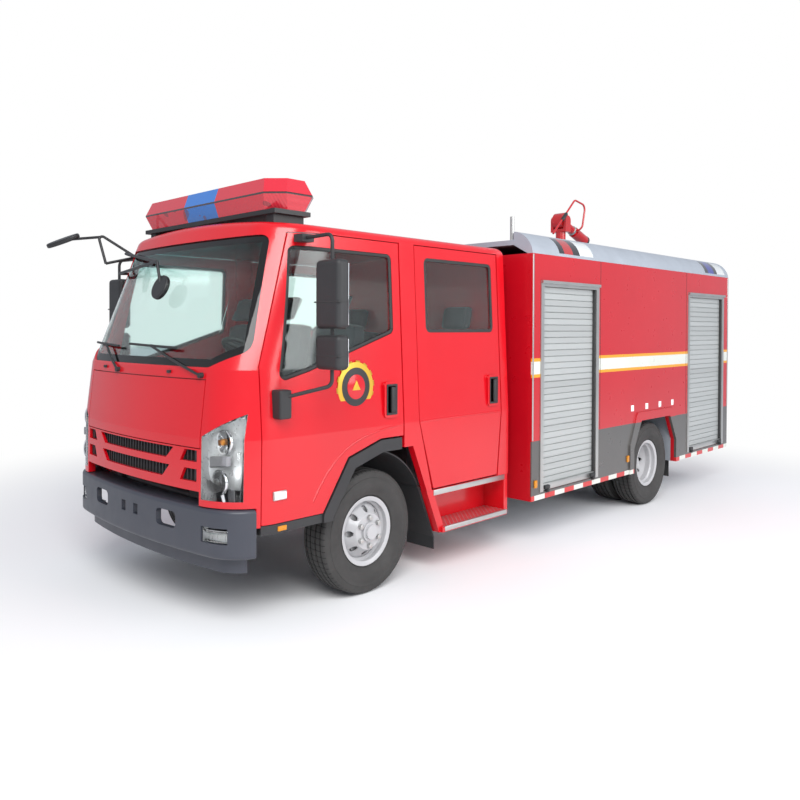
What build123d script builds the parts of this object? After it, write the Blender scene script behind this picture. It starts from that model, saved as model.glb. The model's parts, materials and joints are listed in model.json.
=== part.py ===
from build123d import *
import os
from math import atan2, cos, pi, radians, sin, sqrt

# Airport fire truck: a forward-control light truck with a crew cab, an equipment body with
# roller shutters, a light bar and a roof monitor.
# Millimetres. +X points forward, +Y to the vehicle's left, +Z up. The origin is on the ground,
# under the middle of the whole length.

# Whole vehicle
wheelbase = 3815
front_overhang = 1200
rear_overhang = 1925
overall_length = front_overhang + wheelbase + rear_overhang
x_front = overall_length / 2
x_rear = -x_front
x_front_axle = x_front - front_overhang
x_rear_axle = x_front_axle - wheelbase

# Clearances
seat_gap = 0.3
door_gap = 6
latch_gap = 11.5
arch_gap = 10
moving_gap = 6

# Wheels and tyres, 7.50 R16 on a 16 inch rim
tyre_radius = 402.5
tyre_width = 215
bead_radius = 203
flange_radius = 224
rim_width = 158
rim_wall = 7
rim_well = 14
tyre_wall = 26
shoulder_width = 176
tread_crown = 9
disc_wall = 12
disc_dish = 96
hub_radius = 62
hub_cap_radius = 46
hub_cap_length = 34
hand_hole_radius = 20
hand_hole_count = 8
hand_hole_circle = 142
stud_count = 6
stud_radius = 11
stud_length = 16
stud_circle = 92
front_track = 1655
dual_spacing = 252
rear_outer_track = 1905
z_axle = tyre_radius
y_front_wheel = front_track / 2
y_rear_outer = rear_outer_track / 2
y_rear_inner = y_rear_outer - dual_spacing
y_rear_hub = (y_rear_outer + y_rear_inner) / 2

# Steering knuckles and tie rod
kingpin_half = 745
kingpin_radius = 20
boss_radius = 34
boss_height = 76
ear_thickness = 28
ear_radius = 36
knuckle_web = 16
spindle_radius = 30
front_drum_radius = 150
front_drum_width = 56
arm_length = 170
arm_inset = 88
arm_thickness = 24
arm_radius = 22
tie_rod_radius = 11
tie_eye_radius = 24
tie_eye_height = 26
tie_pin_radius = 10
open_joint_gap = 1.2

# Axles, springs and driveline
beam_width = 76
beam_height = 84
beam_web = 24
beam_flange = 20
beam_drop = 60
beam_drop_half = 300
spring_pad_half = 480
rear_tube_radius = 56
banjo_radius = 165
banjo_width = 190
rear_spindle_radius = 36
rear_drum_radius = 160
rear_drum_width = 110
spring_half_spacing = 391
spring_width = 68
spring_front_length = 1080
spring_rear_length = 1220
spring_leaf = 11
spring_leaf_count = 5
spring_step = 0.17
spring_eye_radius = 26
hanger_length = 70
shaft_radius = 42
engine_length = 980
engine_width = 560
engine_bottom = 455
engine_top = 880
engine_ahead = 330

# Chassis frame
rail_half_width = 425
rail_top = 790
rail_height = 200
rail_flange = 68
rail_wall = 8
rail_ahead = 1029
crossmember_radius = 48
crossmember_count = 6
subframe_width = 60

# Cab envelope, as plan outlines at four heights
cab_wall = 50
cab_back = 1472
cab_bow_radius = 5000
cab_corner_radius = 330
cab_half_width = 995
cab_sill_height = 600
cab_sill_nose = 1190
cab_belt_height = 1090
cab_belt_nose = 1182
cab_cowl_height = 1480
cab_cowl_nose = 1138
cab_cowl_half_width = 976
cab_loft_top = 2440
cab_top_nose = 748
cab_top_half_width = 929
roof_height = 2385
roof_crown_radius = 9000
roof_edge_radius = 60
nose_lip_height = 790
nose_cut_half = 690

# Doors, with their windows and handles
door_bottom = 612
door_top = 2282
front_door_front = 917
front_door_pillar_height = 1500
front_door_pillar = 905
front_door_top_front = 640
front_door_back = 254
rear_door_front = 420
rear_door_back = 1372
rear_door_low_front = 569
rear_door_low_back = 1320
window_top = 2205
window_front_low = 1404
window_front_kink = 560
window_kink_height = 1462
window_low = 1690
window_front = 800
window_top_front = 655
window_front_back = 184
window_rear_front = 515
window_rear_back = 1305
window_corner = 45
handle_width = 136
handle_height = 236
handle_proud = 9
handle_corner = 30
handle_centre = 1256
front_handle_behind = 130
rear_handle_behind = 1264

# Windscreen, lid and headlamps, as outlines seen from the front
screen_low = 1492
screen_high = 2272
screen_half_low = 700
screen_corner_low = 1585
screen_side_low = 1650
screen_half_mid = 892
screen_half_high = 800
screen_corner = 60
pane_thickness = 6
pane_inset = 12
lid_bottom = 1037
lid_top = 1420
lid_half_width = 690
lid_wall = 24
lamp_inner_half = 706
lamp_outer_half = 930
lamp_bottom = 750
lamp_inner_top = 1105
lamp_outer_top = 1238
lamp_back = front_door_front + 2 * door_gap

# Front wheel arch, from the axle and the ground
arch_front = 464
arch_front_shoulder = 250
arch_shoulder_height = 915
arch_crown_behind = 40
arch_top = 1000
arch_flare_rear = 232
arch_panel_height = 930
arch_panel_rear = 352
arch_foot_rear = 655
arch_foot_height = 250
flare_band = 78
flare_proud = 8
liner_radius = 525
liner_wall = 8
liner_inner_half = 470
liner_tail_angle = radians(24)
flap_bottom = 165
flap_inner_half = 690
sill_height = 52

# Cab floor and steps
floor_top = 962
floor_thickness = 28
tunnel_half = 690
step_wall = 15
step_front_tread = 655
step_front_start = 520
step_front_end = 860
step_front_half = 700
step_rear_tread = cab_sill_height + step_wall
step_rear_start = 620
step_rear_end = 1400
step_rear_half = 700
hinge_relief_half = 915
hinge_relief_front = 930
hinge_relief_back = 830
cab_step_height = 325
cab_step_thickness = 34
cab_step_lip_half = 1008
cab_step_riser_half = 790
cab_step_back = 1440
threshold_height = 44

# Bumper
bumper_top = 706
bumper_bottom = 428
bumper_wall = 36
bumper_flange = 150
bumper_half_width = 985
bumper_bow_radius = 4600
bumper_corner_radius = 260
bumper_cut = 950
bumper_round = 24
dam_bottom = 335
dam_setback = 80
dam_wall = 14
tow_slot_half = 400
tow_slot_width = 190
tow_slot_height = 98
tow_slot_centre = 598
tow_slot_corner = 30
plate_hole_half = 75
plate_hole_width = 52
plate_hole_height = 66
fog_half = 800
fog_width = 170
fog_height = 88
fog_centre = 560
fog_inset = 14
fog_lamp_depth = 44

# Grille
grille_inset = 20
grille_thickness = 20
grille_half = 690
grille_bottom = 815
grille_pitch = 34
grille_hole = 24
slot_upper_top = 1022
slot_upper_bottom = 955
slot_upper_half = 455
slot_lower_top = 915
slot_lower_bottom = 842
slot_lower_half = 420
slot_slant = 70
side_slot_inner = 560
side_slot_outer = 668
side_slot_slant = 40

# Light bar
bar_half_length = 800
bar_front = 690
bar_depth = 360
bar_bottom = 2412
bar_base_height = 28
bar_seam = 2535
bar_top = 2630
bar_end_chamfer = 100
bar_taper = 36
bar_foot_half = 690
bar_foot_length = 240
bar_foot_width = 70

# Door mirrors and front view mirrors
mirror_ahead = 620
mirror_half = 1235
mirror_width = 200
mirror_depth = 92
mirror_round = 28
mirror_low = 1715
mirror_high = 2100
mirror_small_low = 1485
mirror_small_high = 1678
mirror_tube_radius = 11
mirror_bend = 45
mirror_bracket_ahead = 588
mirror_bracket_height = 2246
mirror_base_ahead = 800
mirror_base_length = 86
mirror_base_low = 1205
mirror_base_high = 1370
mirror_base_proud = 60
view_tube_radius = 10
view_mirror_radius = 82
view_mirror_thickness = 34

# Wipers
wiper_pivot_height = 1447
wiper_pivot_left = 660
wiper_pivot_right = -250
wiper_reach_left = 560
wiper_reach_right = 300
wiper_tip_height = 1606
wiper_blade_left = 560
wiper_blade_right = 440
wiper_radius = 8
wiper_stand = 16

# Equipment body
body_half_width = 1110
body_front_behind = 1620
body_rear_margin = 40
body_wall = 45
body_bottom = 372
body_side_top = 2305
body_deck_top = 2420
body_deck_thickness = 40
body_floor_top = 870
body_floor_thickness = 50
locker_half = 500
locker_plate = 30
rear_wall_recess = 90
cornice_top = 2482
cornice_half = 955
cornice_bulge_half = 1075
cornice_bulge_height = 2400
cornice_lip = 20

# Roller shutters
shutter_low = 430
shutter_high = 2100
shutter_front_start = 1736
shutter_front_end = 2669
shutter_rear_start = 4574
shutter_rear_end = 5560
shutter_frame = 46
shutter_frame_proud = 8
shutter_hood = 24
shutter_setback = 24
slat_pitch = 50
slat_depth = 9
slat_groove = 9
slat_core = 9
lift_bar_height = 52
rear_shutter_half = 620
rear_shutter_low = 880
rear_shutter_high = 2080

# Rear wheel arch in the body
rear_arch_half = 468
rear_arch_top = 853
rear_arch_shoulder = 600
rear_arch_slant = 150
rear_flare_band = 80
rear_flare_proud = 14

# Roof equipment
corner_lamp_length = 560
corner_lamp_front = 2020
corner_lamp_rear = 5040
corner_lamp_low = 2330
corner_lamp_high = 2462
corner_lamp_depth = 40
monitor_behind = 3940
monitor_flange_radius = 110
monitor_flange_height = 22
monitor_pipe_radius = 52
monitor_swivel_height = 2560
monitor_swivel_radius = 74
monitor_pivot_height = 2890
monitor_head_radius = 86
monitor_head_width = 110
monitor_cheek = 30
monitor_barrel_radius = 44
monitor_barrel_length = 290
nozzle_radius = 58
nozzle_length = 170
monitor_rest_angle = radians(-19)
lever_radius = 10
lever_side = 116
lever_bend = 60
post_height = 190
post_radius = 16
post_behind = 1660

# Rear end
tail_lamp_width = 90
tail_lamp_height = 320
tail_lamp_half = 900
tail_lamp_low = 560
tail_lamp_depth = 30
rear_bar_top = 520
rear_bar_height = 110
rear_bar_half = 1000
ladder_rail_radius = 15
ladder_half_spacing = 128
ladder_centre = -788
ladder_rungs = 6
ladder_low = 950
mudflap_width = 300
mudflap_thickness = 10
mudflap_bottom = 190
mudflap_behind = 4390

# Cab interior
seat_base_top = 1130
cushion_top = 1290
cushion_front_ahead = 330
cushion_length = 500
back_thickness = 150
back_top = 1960
back_rake = 60
driver_half = 430
driver_width = 500
bench_inner = 130
bench_outer = 850
rear_seat_half = 860
rear_cushion_front_behind = 880
rear_back_top = 1900
seat_round = 30
dash_back_ahead = 780
dash_top = 1440
dash_half = 884
steering_radius = 205
steering_rim = 15
steering_ahead = 560
steering_height = 1540
steering_half = 430
steering_tilt = 32

# The tallest and widest reach used for cutters
far_out = cab_half_width + cab_corner_radius


def ahead(distance):
    """Give the X of a point that lies a distance ahead of the front axle."""
    return x_front_axle + distance


def behind(distance):
    """Give the X of a point that lies a distance behind the front axle."""
    return x_front_axle - distance


def block(x0, x1, y0, y1, z0, z1):
    """Make a box between two corners."""
    middle = ((x0 + x1) / 2, (y0 + y1) / 2, (z0 + z1) / 2)
    return Pos(*middle) * Box(abs(x1 - x0), abs(y1 - y0), abs(z1 - z0))


def outline(points, radius=0):
    """Make a flat face from corner points, with rounded corners where a radius is given."""
    if radius == 0:
        return make_face(Polyline(*points, close=True))
    return make_face(FilletPolyline(*points, radius=radius, close=True))


def side_prism(points, y0, y1, radius=0):
    """Extrude an outline of X, Z points between two Y values."""
    face = outline([(x, y0, z) for x, z in points], radius)
    return extrude(face, amount=y1 - y0, dir=(0, 1, 0))


def front_prism(points, x0, x1, radius=0):
    """Extrude an outline of Y, Z points between two X values."""
    face = outline([(x0, y, z) for y, z in points], radius)
    return extrude(face, amount=x1 - x0, dir=(1, 0, 0))


def plan_prism(points, z0, z1, radius=0):
    """Extrude an outline of X, Y points between two Z values."""
    face = outline([(x, y, z0) for x, y in points], radius)
    return extrude(face, amount=z1 - z0, dir=(0, 0, 1))


def rod(start, end, radius):
    """Make a round bar between two points."""
    line = Line(start, end)
    return sweep(Plane(origin=start, z_dir=line % 0) * Circle(radius), path=line)


def curved_rod(start, middle, end, radius):
    """Make a round bar along an arc through three points."""
    path = ThreePointArc(start, middle, end)
    return sweep(Plane(origin=start, z_dir=path % 0) * Circle(radius), path=path)


def bent_tube(points, radius, bend):
    """Make a round bar along straight runs joined by bends."""
    path = FilletPolyline(*points, radius=bend)
    return sweep(Plane(origin=points[0], z_dir=path % 0) * Circle(radius), path=path)


def cylinder_y(x, z, radius, y0, y1):
    """Make a cylinder that lies along Y."""
    return Pos(x, (y0 + y1) / 2, z) * Rot(90, 0, 0) * Cylinder(radius, abs(y1 - y0))


def cylinder_z(x, y, radius, z0, z1):
    """Make a cylinder that stands along Z."""
    return Pos(x, y, (z0 + z1) / 2) * Cylinder(radius, abs(z1 - z0))


def flip(shape):
    """Mirror a shape from one side of the vehicle to the other."""
    return mirror(shape, about=Plane.XZ)


def both_sides(shape):
    """Give a left-hand shape and its right-hand mirror image."""
    return [shape, flip(shape)]


# Cab envelope and the outlines cut from it


def cab_plan_values(z):
    """Give the cab's nose and half width at a height, between the plan outlines."""
    rows = [
        (cab_sill_height, cab_sill_nose, cab_half_width),
        (cab_belt_height, cab_belt_nose, cab_half_width),
        (cab_cowl_height, cab_cowl_nose, cab_cowl_half_width),
        (cab_loft_top, cab_top_nose, cab_top_half_width),
    ]
    for low, high in zip(rows, rows[1:]):
        if z <= high[0]:
            share = (z - low[0]) / (high[0] - low[0])
            return low[1] + share * (high[1] - low[1]), low[2] + share * (high[2] - low[2])
    return rows[-1][1:]


def cab_corner(z, inset=0):
    """Give the centres and radii of the cab's front bow and corner arcs at a height."""
    nose, half_width = cab_plan_values(z)
    bow = cab_bow_radius - inset
    corner = cab_corner_radius - inset
    bow_x = ahead(nose) - inset - bow
    corner_y = half_width - inset - corner
    corner_x = bow_x + sqrt((bow - corner) ** 2 - corner_y**2)
    return bow, corner, bow_x, corner_x, corner_y


def cab_front_x(y, z):
    """Give the X of the cab's front surface at a place seen from the front."""
    bow, corner, bow_x, corner_x, corner_y = cab_corner(z)
    join_y = bow * corner_y / (bow - corner)
    if abs(y) <= join_y:
        return bow_x + sqrt(bow**2 - y**2)
    return corner_x + sqrt(corner**2 - (abs(y) - corner_y) ** 2)


def cab_section(z, inset):
    """Draw the cab's plan outline at one height: bowed front, round corners, flat sides."""
    bow, corner, bow_x, corner_x, corner_y = cab_corner(z, inset)
    side = corner_y + corner
    back = behind(cab_back) + inset
    bow_angle = atan2(corner_y, corner_x - bow_x)
    join = (bow_x + bow * cos(bow_angle), bow * sin(bow_angle))
    middle = (bow_angle + pi / 2) / 2
    turn = (corner_x + corner * cos(middle), corner_y + corner * sin(middle))
    return Wire(
        [
            Line((back, -side, z), (corner_x, -side, z)),
            ThreePointArc((corner_x, -side, z), (turn[0], -turn[1], z), (join[0], -join[1], z)),
            ThreePointArc((join[0], -join[1], z), (bow_x + bow, 0, z), (*join, z)),
            ThreePointArc((*join, z), (*turn, z), (corner_x, side, z)),
            Line((corner_x, side, z), (back, side, z)),
            Line((back, side, z), (back, -side, z)),
        ]
    )


def cab_envelope(inset):
    """Make the cab's outer form, drawn in all round by an inset, with a crowned roof."""
    heights = (cab_sill_height, cab_belt_height, cab_cowl_height, cab_loft_top)
    form = Solid.make_loft([cab_section(z, inset) for z in heights], ruled=True)
    crown = roof_height - inset
    edge = crown - far_out**2 / (2 * roof_crown_radius)
    low = cab_sill_height - cab_wall
    under_roof = make_face(
        [
            ThreePointArc((x_rear, -far_out, edge), (x_rear, 0, crown), (x_rear, far_out, edge)),
            Line((x_rear, far_out, edge), (x_rear, far_out, low)),
            Line((x_rear, far_out, low), (x_rear, -far_out, low)),
            Line((x_rear, -far_out, low), (x_rear, -far_out, edge)),
        ]
    )
    form = form & extrude(under_roof, amount=overall_length, dir=(1, 0, 0))
    top_edges = [edge for edge in form.edges() if edge.center().Z > edge_floor(inset)]
    return fillet(top_edges, max(roof_edge_radius - inset, cab_wall / 5))


def edge_floor(inset):
    """Give the height above which the cab's edges belong to its roof."""
    return screen_high - inset


def flare_prism(grow):
    """Make the front wheel arch's opening in the left side, with its outline moved outwards."""
    face = outline(
        [
            (ahead(arch_front), side_cut, arch_foot_height),
            (ahead(arch_front), side_cut, cab_sill_height),
            (ahead(arch_front_shoulder), side_cut, arch_shoulder_height),
            (behind(arch_crown_behind), side_cut, arch_top),
            (behind(arch_foot_rear), side_cut, arch_top),
            (behind(arch_foot_rear), side_cut, arch_foot_height),
        ]
    )
    face = offset(face, amount=grow, kind=Kind.INTERSECTION)
    return extrude(face, amount=far_out - side_cut, dir=(0, 1, 0))


def pillar_arch_points():
    """Give the part of the wheel arch that is cut into the pillar behind the front door."""
    return [
        (behind(arch_flare_rear), arch_foot_height),
        (behind(arch_flare_rear), arch_panel_height),
        (behind(arch_panel_rear), arch_panel_height),
        (behind(arch_foot_rear), arch_foot_height),
    ]


def front_door_points(grow=0, latch=0, drop=0):
    """Give the front door's side outline, grown by its gaps, with its bottom lowered."""
    return [
        (ahead(front_door_front + grow), door_bottom - drop),
        (ahead(front_door_pillar + grow), front_door_pillar_height),
        (ahead(front_door_top_front + grow), door_top + grow),
        (behind(front_door_back + latch), door_top + grow),
        (behind(front_door_back + latch), door_bottom - drop),
    ]


def rear_door_points(grow=0, latch=0, drop=0):
    """Give the rear door's side outline, grown by its gaps, with its bottom lowered."""
    return [
        (behind(rear_door_low_front - grow), door_bottom - drop),
        (behind(rear_door_front - grow), cab_belt_height),
        (behind(rear_door_front - grow), door_top + grow),
        (behind(rear_door_back + latch), door_top + grow),
        (behind(rear_door_back + latch), cab_belt_height),
        (behind(rear_door_low_back + latch), door_bottom - drop),
    ]


def front_window_points(shrink=0):
    """Give the front door's window outline, drawn in by an amount."""
    return [
        (ahead(window_front - shrink), window_front_low + shrink),
        (ahead(window_top_front - shrink), window_top - shrink),
        (behind(window_front_back - shrink), window_top - shrink),
        (behind(window_front_back - shrink), window_low + shrink),
        (ahead(window_front_kink), window_kink_height + shrink),
    ]


def rear_window_points(shrink=0):
    """Give the rear door's window outline, drawn in by an amount."""
    return [
        (behind(window_rear_front + shrink), window_low + shrink),
        (behind(window_rear_front + shrink), window_top - shrink),
        (behind(window_rear_back - shrink), window_top - shrink),
        (behind(window_rear_back - shrink), window_low + shrink),
    ]


def screen_points(shrink=0):
    """Give the windscreen's outline, seen from the front, drawn in by an amount."""
    half = [
        (screen_half_low, screen_low + shrink),
        (screen_half_mid - shrink, screen_corner_low),
        (screen_half_mid - shrink, screen_side_low),
        (screen_half_high - shrink, screen_high - shrink),
    ]
    return half + [(-y, z) for y, z in reversed(half)]


def lamp_points(grow=0):
    """Give a headlamp's outline, seen from the front, grown outwards by an amount."""
    return [
        (lamp_inner_half - grow, lamp_bottom - grow),
        (lamp_outer_half + grow, lamp_bottom - grow),
        (lamp_outer_half + grow, lamp_outer_top + grow),
        (lamp_inner_half - grow, lamp_inner_top + grow),
    ]


def slot_outlines():
    """Give the outlines of the grille's two long slots and four short side slots."""
    outlines = []
    for top, bottom, half in (
        (slot_upper_top, slot_upper_bottom, slot_upper_half),
        (slot_lower_top, slot_lower_bottom, slot_lower_half),
    ):
        low = half - slot_slant
        outlines.append([(-half, top), (half, top), (low, bottom), (-low, bottom)])
        for side in (1, -1):
            outlines.append(
                [
                    (side * side_slot_inner, top),
                    (side * side_slot_outer, top),
                    (side * side_slot_outer, bottom),
                    (side * (side_slot_inner - side_slot_slant), bottom),
                ]
            )
    return outlines


outer_form = cab_envelope(0)
inner_form = cab_envelope(cab_wall)
seat_form = cab_envelope(-seat_gap)
cab_skin = outer_form - inner_form
front_cut = ahead(0)
side_cut = cab_half_width / 2


def side_slab(points, radius=0):
    """Extrude a side outline through the cab's left wall."""
    return side_prism(points, side_cut, far_out, radius)


def face_slab(points, radius=0):
    """Extrude a front outline through the cab's front wall."""
    return front_prism(points, front_cut, x_front, radius)


def make_cab_shell():
    """Make the cab's welded shell, with doors, windscreen, lamps, lid and arches cut out."""
    shell = cab_skin - block(front_cut, x_front, -nose_cut_half, nose_cut_half,
                             cab_sill_height, nose_lip_height)
    shell -= block(ahead(bumper_cut) - moving_gap, x_front, -far_out, far_out,
                   cab_sill_height, bumper_top + moving_gap)
    side_cuts = [
        side_slab(front_door_points(door_gap, latch_gap, cab_wall)),
        side_slab(rear_door_points(door_gap, latch_gap, cab_wall)),
        side_slab(pillar_arch_points()),
        face_slab(lamp_points(seat_gap)),
    ]
    for cut in side_cuts:
        shell -= cut
        shell -= flip(cut)
    shell -= face_slab(screen_points(), screen_corner)
    shell -= block(behind(cab_back), behind(cab_back - 2 * cab_wall), -tunnel_half, tunnel_half,
                   cab_sill_height, floor_top - floor_thickness)
    lid_edge = lid_half_width + door_gap
    shell -= (outer_form - cab_envelope(lid_wall + door_gap)) & block(
        front_cut, x_front, -lid_edge, lid_edge, lid_bottom - door_gap, lid_top + door_gap
    )
    shell -= cab_envelope(grille_inset) & block(
        front_cut, x_front, -grille_half, grille_half, grille_bottom, lid_bottom - 2 * door_gap
    )
    for points in slot_outlines():
        shell -= face_slab(points)
    return shell


def make_grille():
    """Make the dark grille plate behind the slots, pierced by rows of upright holes."""
    plate = cab_envelope(grille_inset + seat_gap) - cab_envelope(grille_inset + grille_thickness)
    plate &= block(front_cut, x_front, -grille_half + seat_gap, grille_half - seat_gap,
                   grille_bottom + seat_gap, lid_bottom - 2 * door_gap - seat_gap)
    count = int((side_slot_outer - grille_hole) / grille_pitch)
    for low, high in ((slot_lower_bottom, slot_lower_top), (slot_upper_bottom, slot_upper_top)):
        for index in range(-count, count + 1):
            y = index * grille_pitch
            plate -= block(front_cut, x_front, y - grille_hole / 2, y + grille_hole / 2, low, high)
    return plate


def make_front_lid():
    """Make the lid between the grille and the windscreen, which swings up."""
    lid = outer_form - cab_envelope(lid_wall)
    return lid & block(front_cut, x_front, -lid_half_width, lid_half_width, lid_bottom, lid_top)


def make_front_lamps():
    """Make the tall headlamps round the cab's corners and the fog lamps in the bumper."""
    lamp = cab_skin & face_slab(lamp_points())
    lamp &= block(ahead(lamp_back), x_front, 0, far_out, lamp_bottom, lamp_outer_top)
    fog = bumper_form(fog_inset) - bumper_form(fog_inset + fog_lamp_depth)
    fog &= bumper_hole(fog_half, fog_width - 2 * seat_gap, fog_height - 2 * seat_gap, fog_centre)
    return both_sides(lamp) + both_sides(fog)


def make_windscreen():
    """Make the curved windscreen."""
    pane = cab_envelope(pane_inset) - cab_envelope(pane_inset + pane_thickness)
    return pane & face_slab(screen_points(seat_gap), screen_corner)


def handle_housing(distance):
    """Make the raised handle housing of a door, at a distance behind the front axle."""
    x = behind(distance)
    half = handle_width / 2
    low = handle_centre - handle_height / 2
    high = handle_centre + handle_height / 2
    corners = [(x - half, low), (x + half, low), (x + half, high), (x - half, high)]
    return side_prism(corners, cab_half_width - cab_wall / 2, cab_half_width + handle_proud,
                      handle_corner)


def make_front_door():
    """Make the left front door, with its window and its part of the wheel arch cut out."""
    door = cab_skin & side_slab(front_door_points())
    door -= flare_prism(arch_gap)
    door -= side_slab(front_window_points(), window_corner)
    return door + handle_housing(front_handle_behind)


def make_rear_door():
    """Make the left rear door, with its window cut out."""
    door = cab_skin & side_slab(rear_door_points())
    door -= side_slab(rear_window_points(), window_corner)
    return door + handle_housing(rear_handle_behind)


def make_pane(points):
    """Make a door's glass, set inside its window opening."""
    pane = cab_envelope(pane_inset) - cab_envelope(pane_inset + pane_thickness)
    return pane & side_slab(points, window_corner - seat_gap)


def make_arch_liner():
    """Make the left wheel housing: inner arch, flare round the opening, sill and mud flap."""
    y_liner = cab_half_width - cab_wall - moving_gap
    y_in = y_liner - liner_wall
    top = door_bottom - door_gap
    low = top - sill_height
    flare = flare_prism(-seat_gap) - flare_prism(-flare_band)
    flare &= block(behind(arch_flare_rear), x_front, y_in, cab_half_width + flare_proud, low,
                   roof_height)
    sill = block(ahead(arch_front - flare_band), ahead(front_door_front), y_in,
                 far_out, low, top)
    sill &= extrude(Face(cab_section(cab_sill_height, moving_gap)), amount=-sill_height, dir=(0, 0, 1),
                    both=True)
    ring = cylinder_y(x_front_axle, z_axle, liner_radius, liner_inner_half, y_liner)
    ring -= cylinder_y(x_front_axle, z_axle, liner_radius - liner_wall, liner_inner_half, y_liner)
    tail_x = x_front_axle - liner_radius * cos(liner_tail_angle)
    tail_z = z_axle + liner_radius * sin(liner_tail_angle)
    ring -= block(x_front_axle, x_front, 0, far_out, -liner_radius, low)
    ring -= block(behind(cab_back), x_front_axle, 0, far_out, -liner_radius, tail_z)
    flap_x = behind(arch_foot_rear) + liner_wall
    tail = side_prism(
        [
            (tail_x - liner_wall, tail_z + liner_wall),
            (tail_x + 2 * liner_wall, tail_z + liner_wall),
            (flap_x + liner_wall, arch_foot_height),
            (flap_x + liner_wall, flap_bottom),
            (flap_x, flap_bottom),
            (flap_x, arch_foot_height),
        ],
        flap_inner_half,
        y_liner,
    )
    return flare + sill + ring + tail


def make_cab_floor():
    """Make the cab floor, with a step tray inside each door and room for the front doors' swing."""
    low = floor_top - floor_thickness
    inside = cab_envelope(cab_wall + seat_gap)
    floor = inside & block(behind(cab_back), x_front, -far_out, far_out, low, floor_top)
    y_edge = cab_half_width - cab_wall - moving_gap - liner_wall - seat_gap
    trays = [
        (ahead(step_front_start), ahead(step_front_end), step_front_half, step_front_tread),
        (behind(step_rear_end), behind(step_rear_start), step_rear_half, step_rear_tread),
    ]
    for x0, x1, half, tread in trays:
        for side in (1, -1):
            floor += block(x0, x1, side * half, side * y_edge, tread - step_wall, floor_top)
        for side in (1, -1):
            floor -= block(x0 + step_wall, x1 - step_wall, side * (half + step_wall),
                           side * far_out, tread, roof_height)
    for points in (front_door_points(door_gap, latch_gap), rear_door_points(door_gap, latch_gap)):
        door_zone = side_prism(points, y_edge, far_out)
        floor -= door_zone
        floor -= flip(door_zone)
    for side in (1, -1):
        floor -= block(ahead(hinge_relief_back), ahead(hinge_relief_front),
                       side * hinge_relief_half, side * far_out, 0, roof_height)
    return floor


def make_cab_step():
    """Make the left rear boarding step under the rear door, with riser, cheeks and threshold."""
    top = cab_sill_height - seat_gap
    low = cab_step_height - cab_step_thickness
    back = behind(cab_back)
    y_out = cab_half_width - moving_gap
    tread = block(behind(cab_step_back), behind(arch_foot_rear), cab_step_riser_half,
                  cab_step_lip_half, low, cab_step_height)
    riser = block(back, behind(arch_foot_rear - step_wall), cab_step_riser_half,
                  cab_step_riser_half + step_wall, low, top - threshold_height)
    back_cheek = block(back, behind(cab_step_back - step_wall), cab_step_riser_half, y_out, low, top)
    slope = (arch_foot_rear - arch_panel_rear) / (arch_panel_height - arch_foot_height)
    top_x = arch_panel_rear + slope * (arch_panel_height - top) + moving_gap / 2
    low_x = arch_panel_rear + slope * (arch_panel_height - low) + moving_gap / 2
    cheek_width = rear_door_low_front - top_x
    front_cheek = side_prism(
        [
            (behind(top_x), top),
            (behind(top_x + cheek_width), top),
            (behind(low_x + cheek_width), low),
            (behind(low_x), low),
        ],
        cab_step_riser_half,
        y_out,
    )
    threshold = block(behind(cab_step_back - step_wall), behind(top_x + cheek_width / 2),
                      cab_step_riser_half, y_out, top - threshold_height, top)
    return tread + riser + back_cheek + front_cheek + threshold


# Bumper


def bumper_form(inset):
    """Make the bumper's outer block, bowed in plan, drawn in by an inset."""
    bow = bumper_bow_radius - inset
    corner = bumper_corner_radius - inset
    front = x_front - inset
    side = bumper_half_width - inset
    bow_x = front - bow
    corner_y = side - corner
    corner_x = bow_x + sqrt((bow - corner) ** 2 - corner_y**2)
    angle = atan2(corner_y, corner_x - bow_x)
    join = (bow_x + bow * cos(angle), bow * sin(angle))
    middle = (angle + pi / 2) / 2
    turn = (corner_x + corner * cos(middle), corner_y + corner * sin(middle))
    back = ahead(0)
    z = bumper_bottom
    face = make_face(
        [
            Line((back, -side, z), (corner_x, -side, z)),
            ThreePointArc((corner_x, -side, z), (turn[0], -turn[1], z), (join[0], -join[1], z)),
            ThreePointArc((join[0], -join[1], z), (front, 0, z), (*join, z)),
            ThreePointArc((*join, z), (*turn, z), (corner_x, side, z)),
            Line((corner_x, side, z), (back, side, z)),
            Line((back, side, z), (back, -side, z)),
        ]
    )
    return extrude(face, amount=bumper_top - bumper_bottom, dir=(0, 0, 1))


def bumper_hole(half, width, height, centre, corner=0):
    """Make the cutter of an opening in the bumper, at a distance from the middle."""
    corners = [(half + sy * width / 2, centre + sz * height / 2)
               for sy, sz in ((-1, -1), (1, -1), (1, 1), (-1, 1))]
    return front_prism(corners, ahead(0), x_front + bumper_wall, corner)


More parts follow.
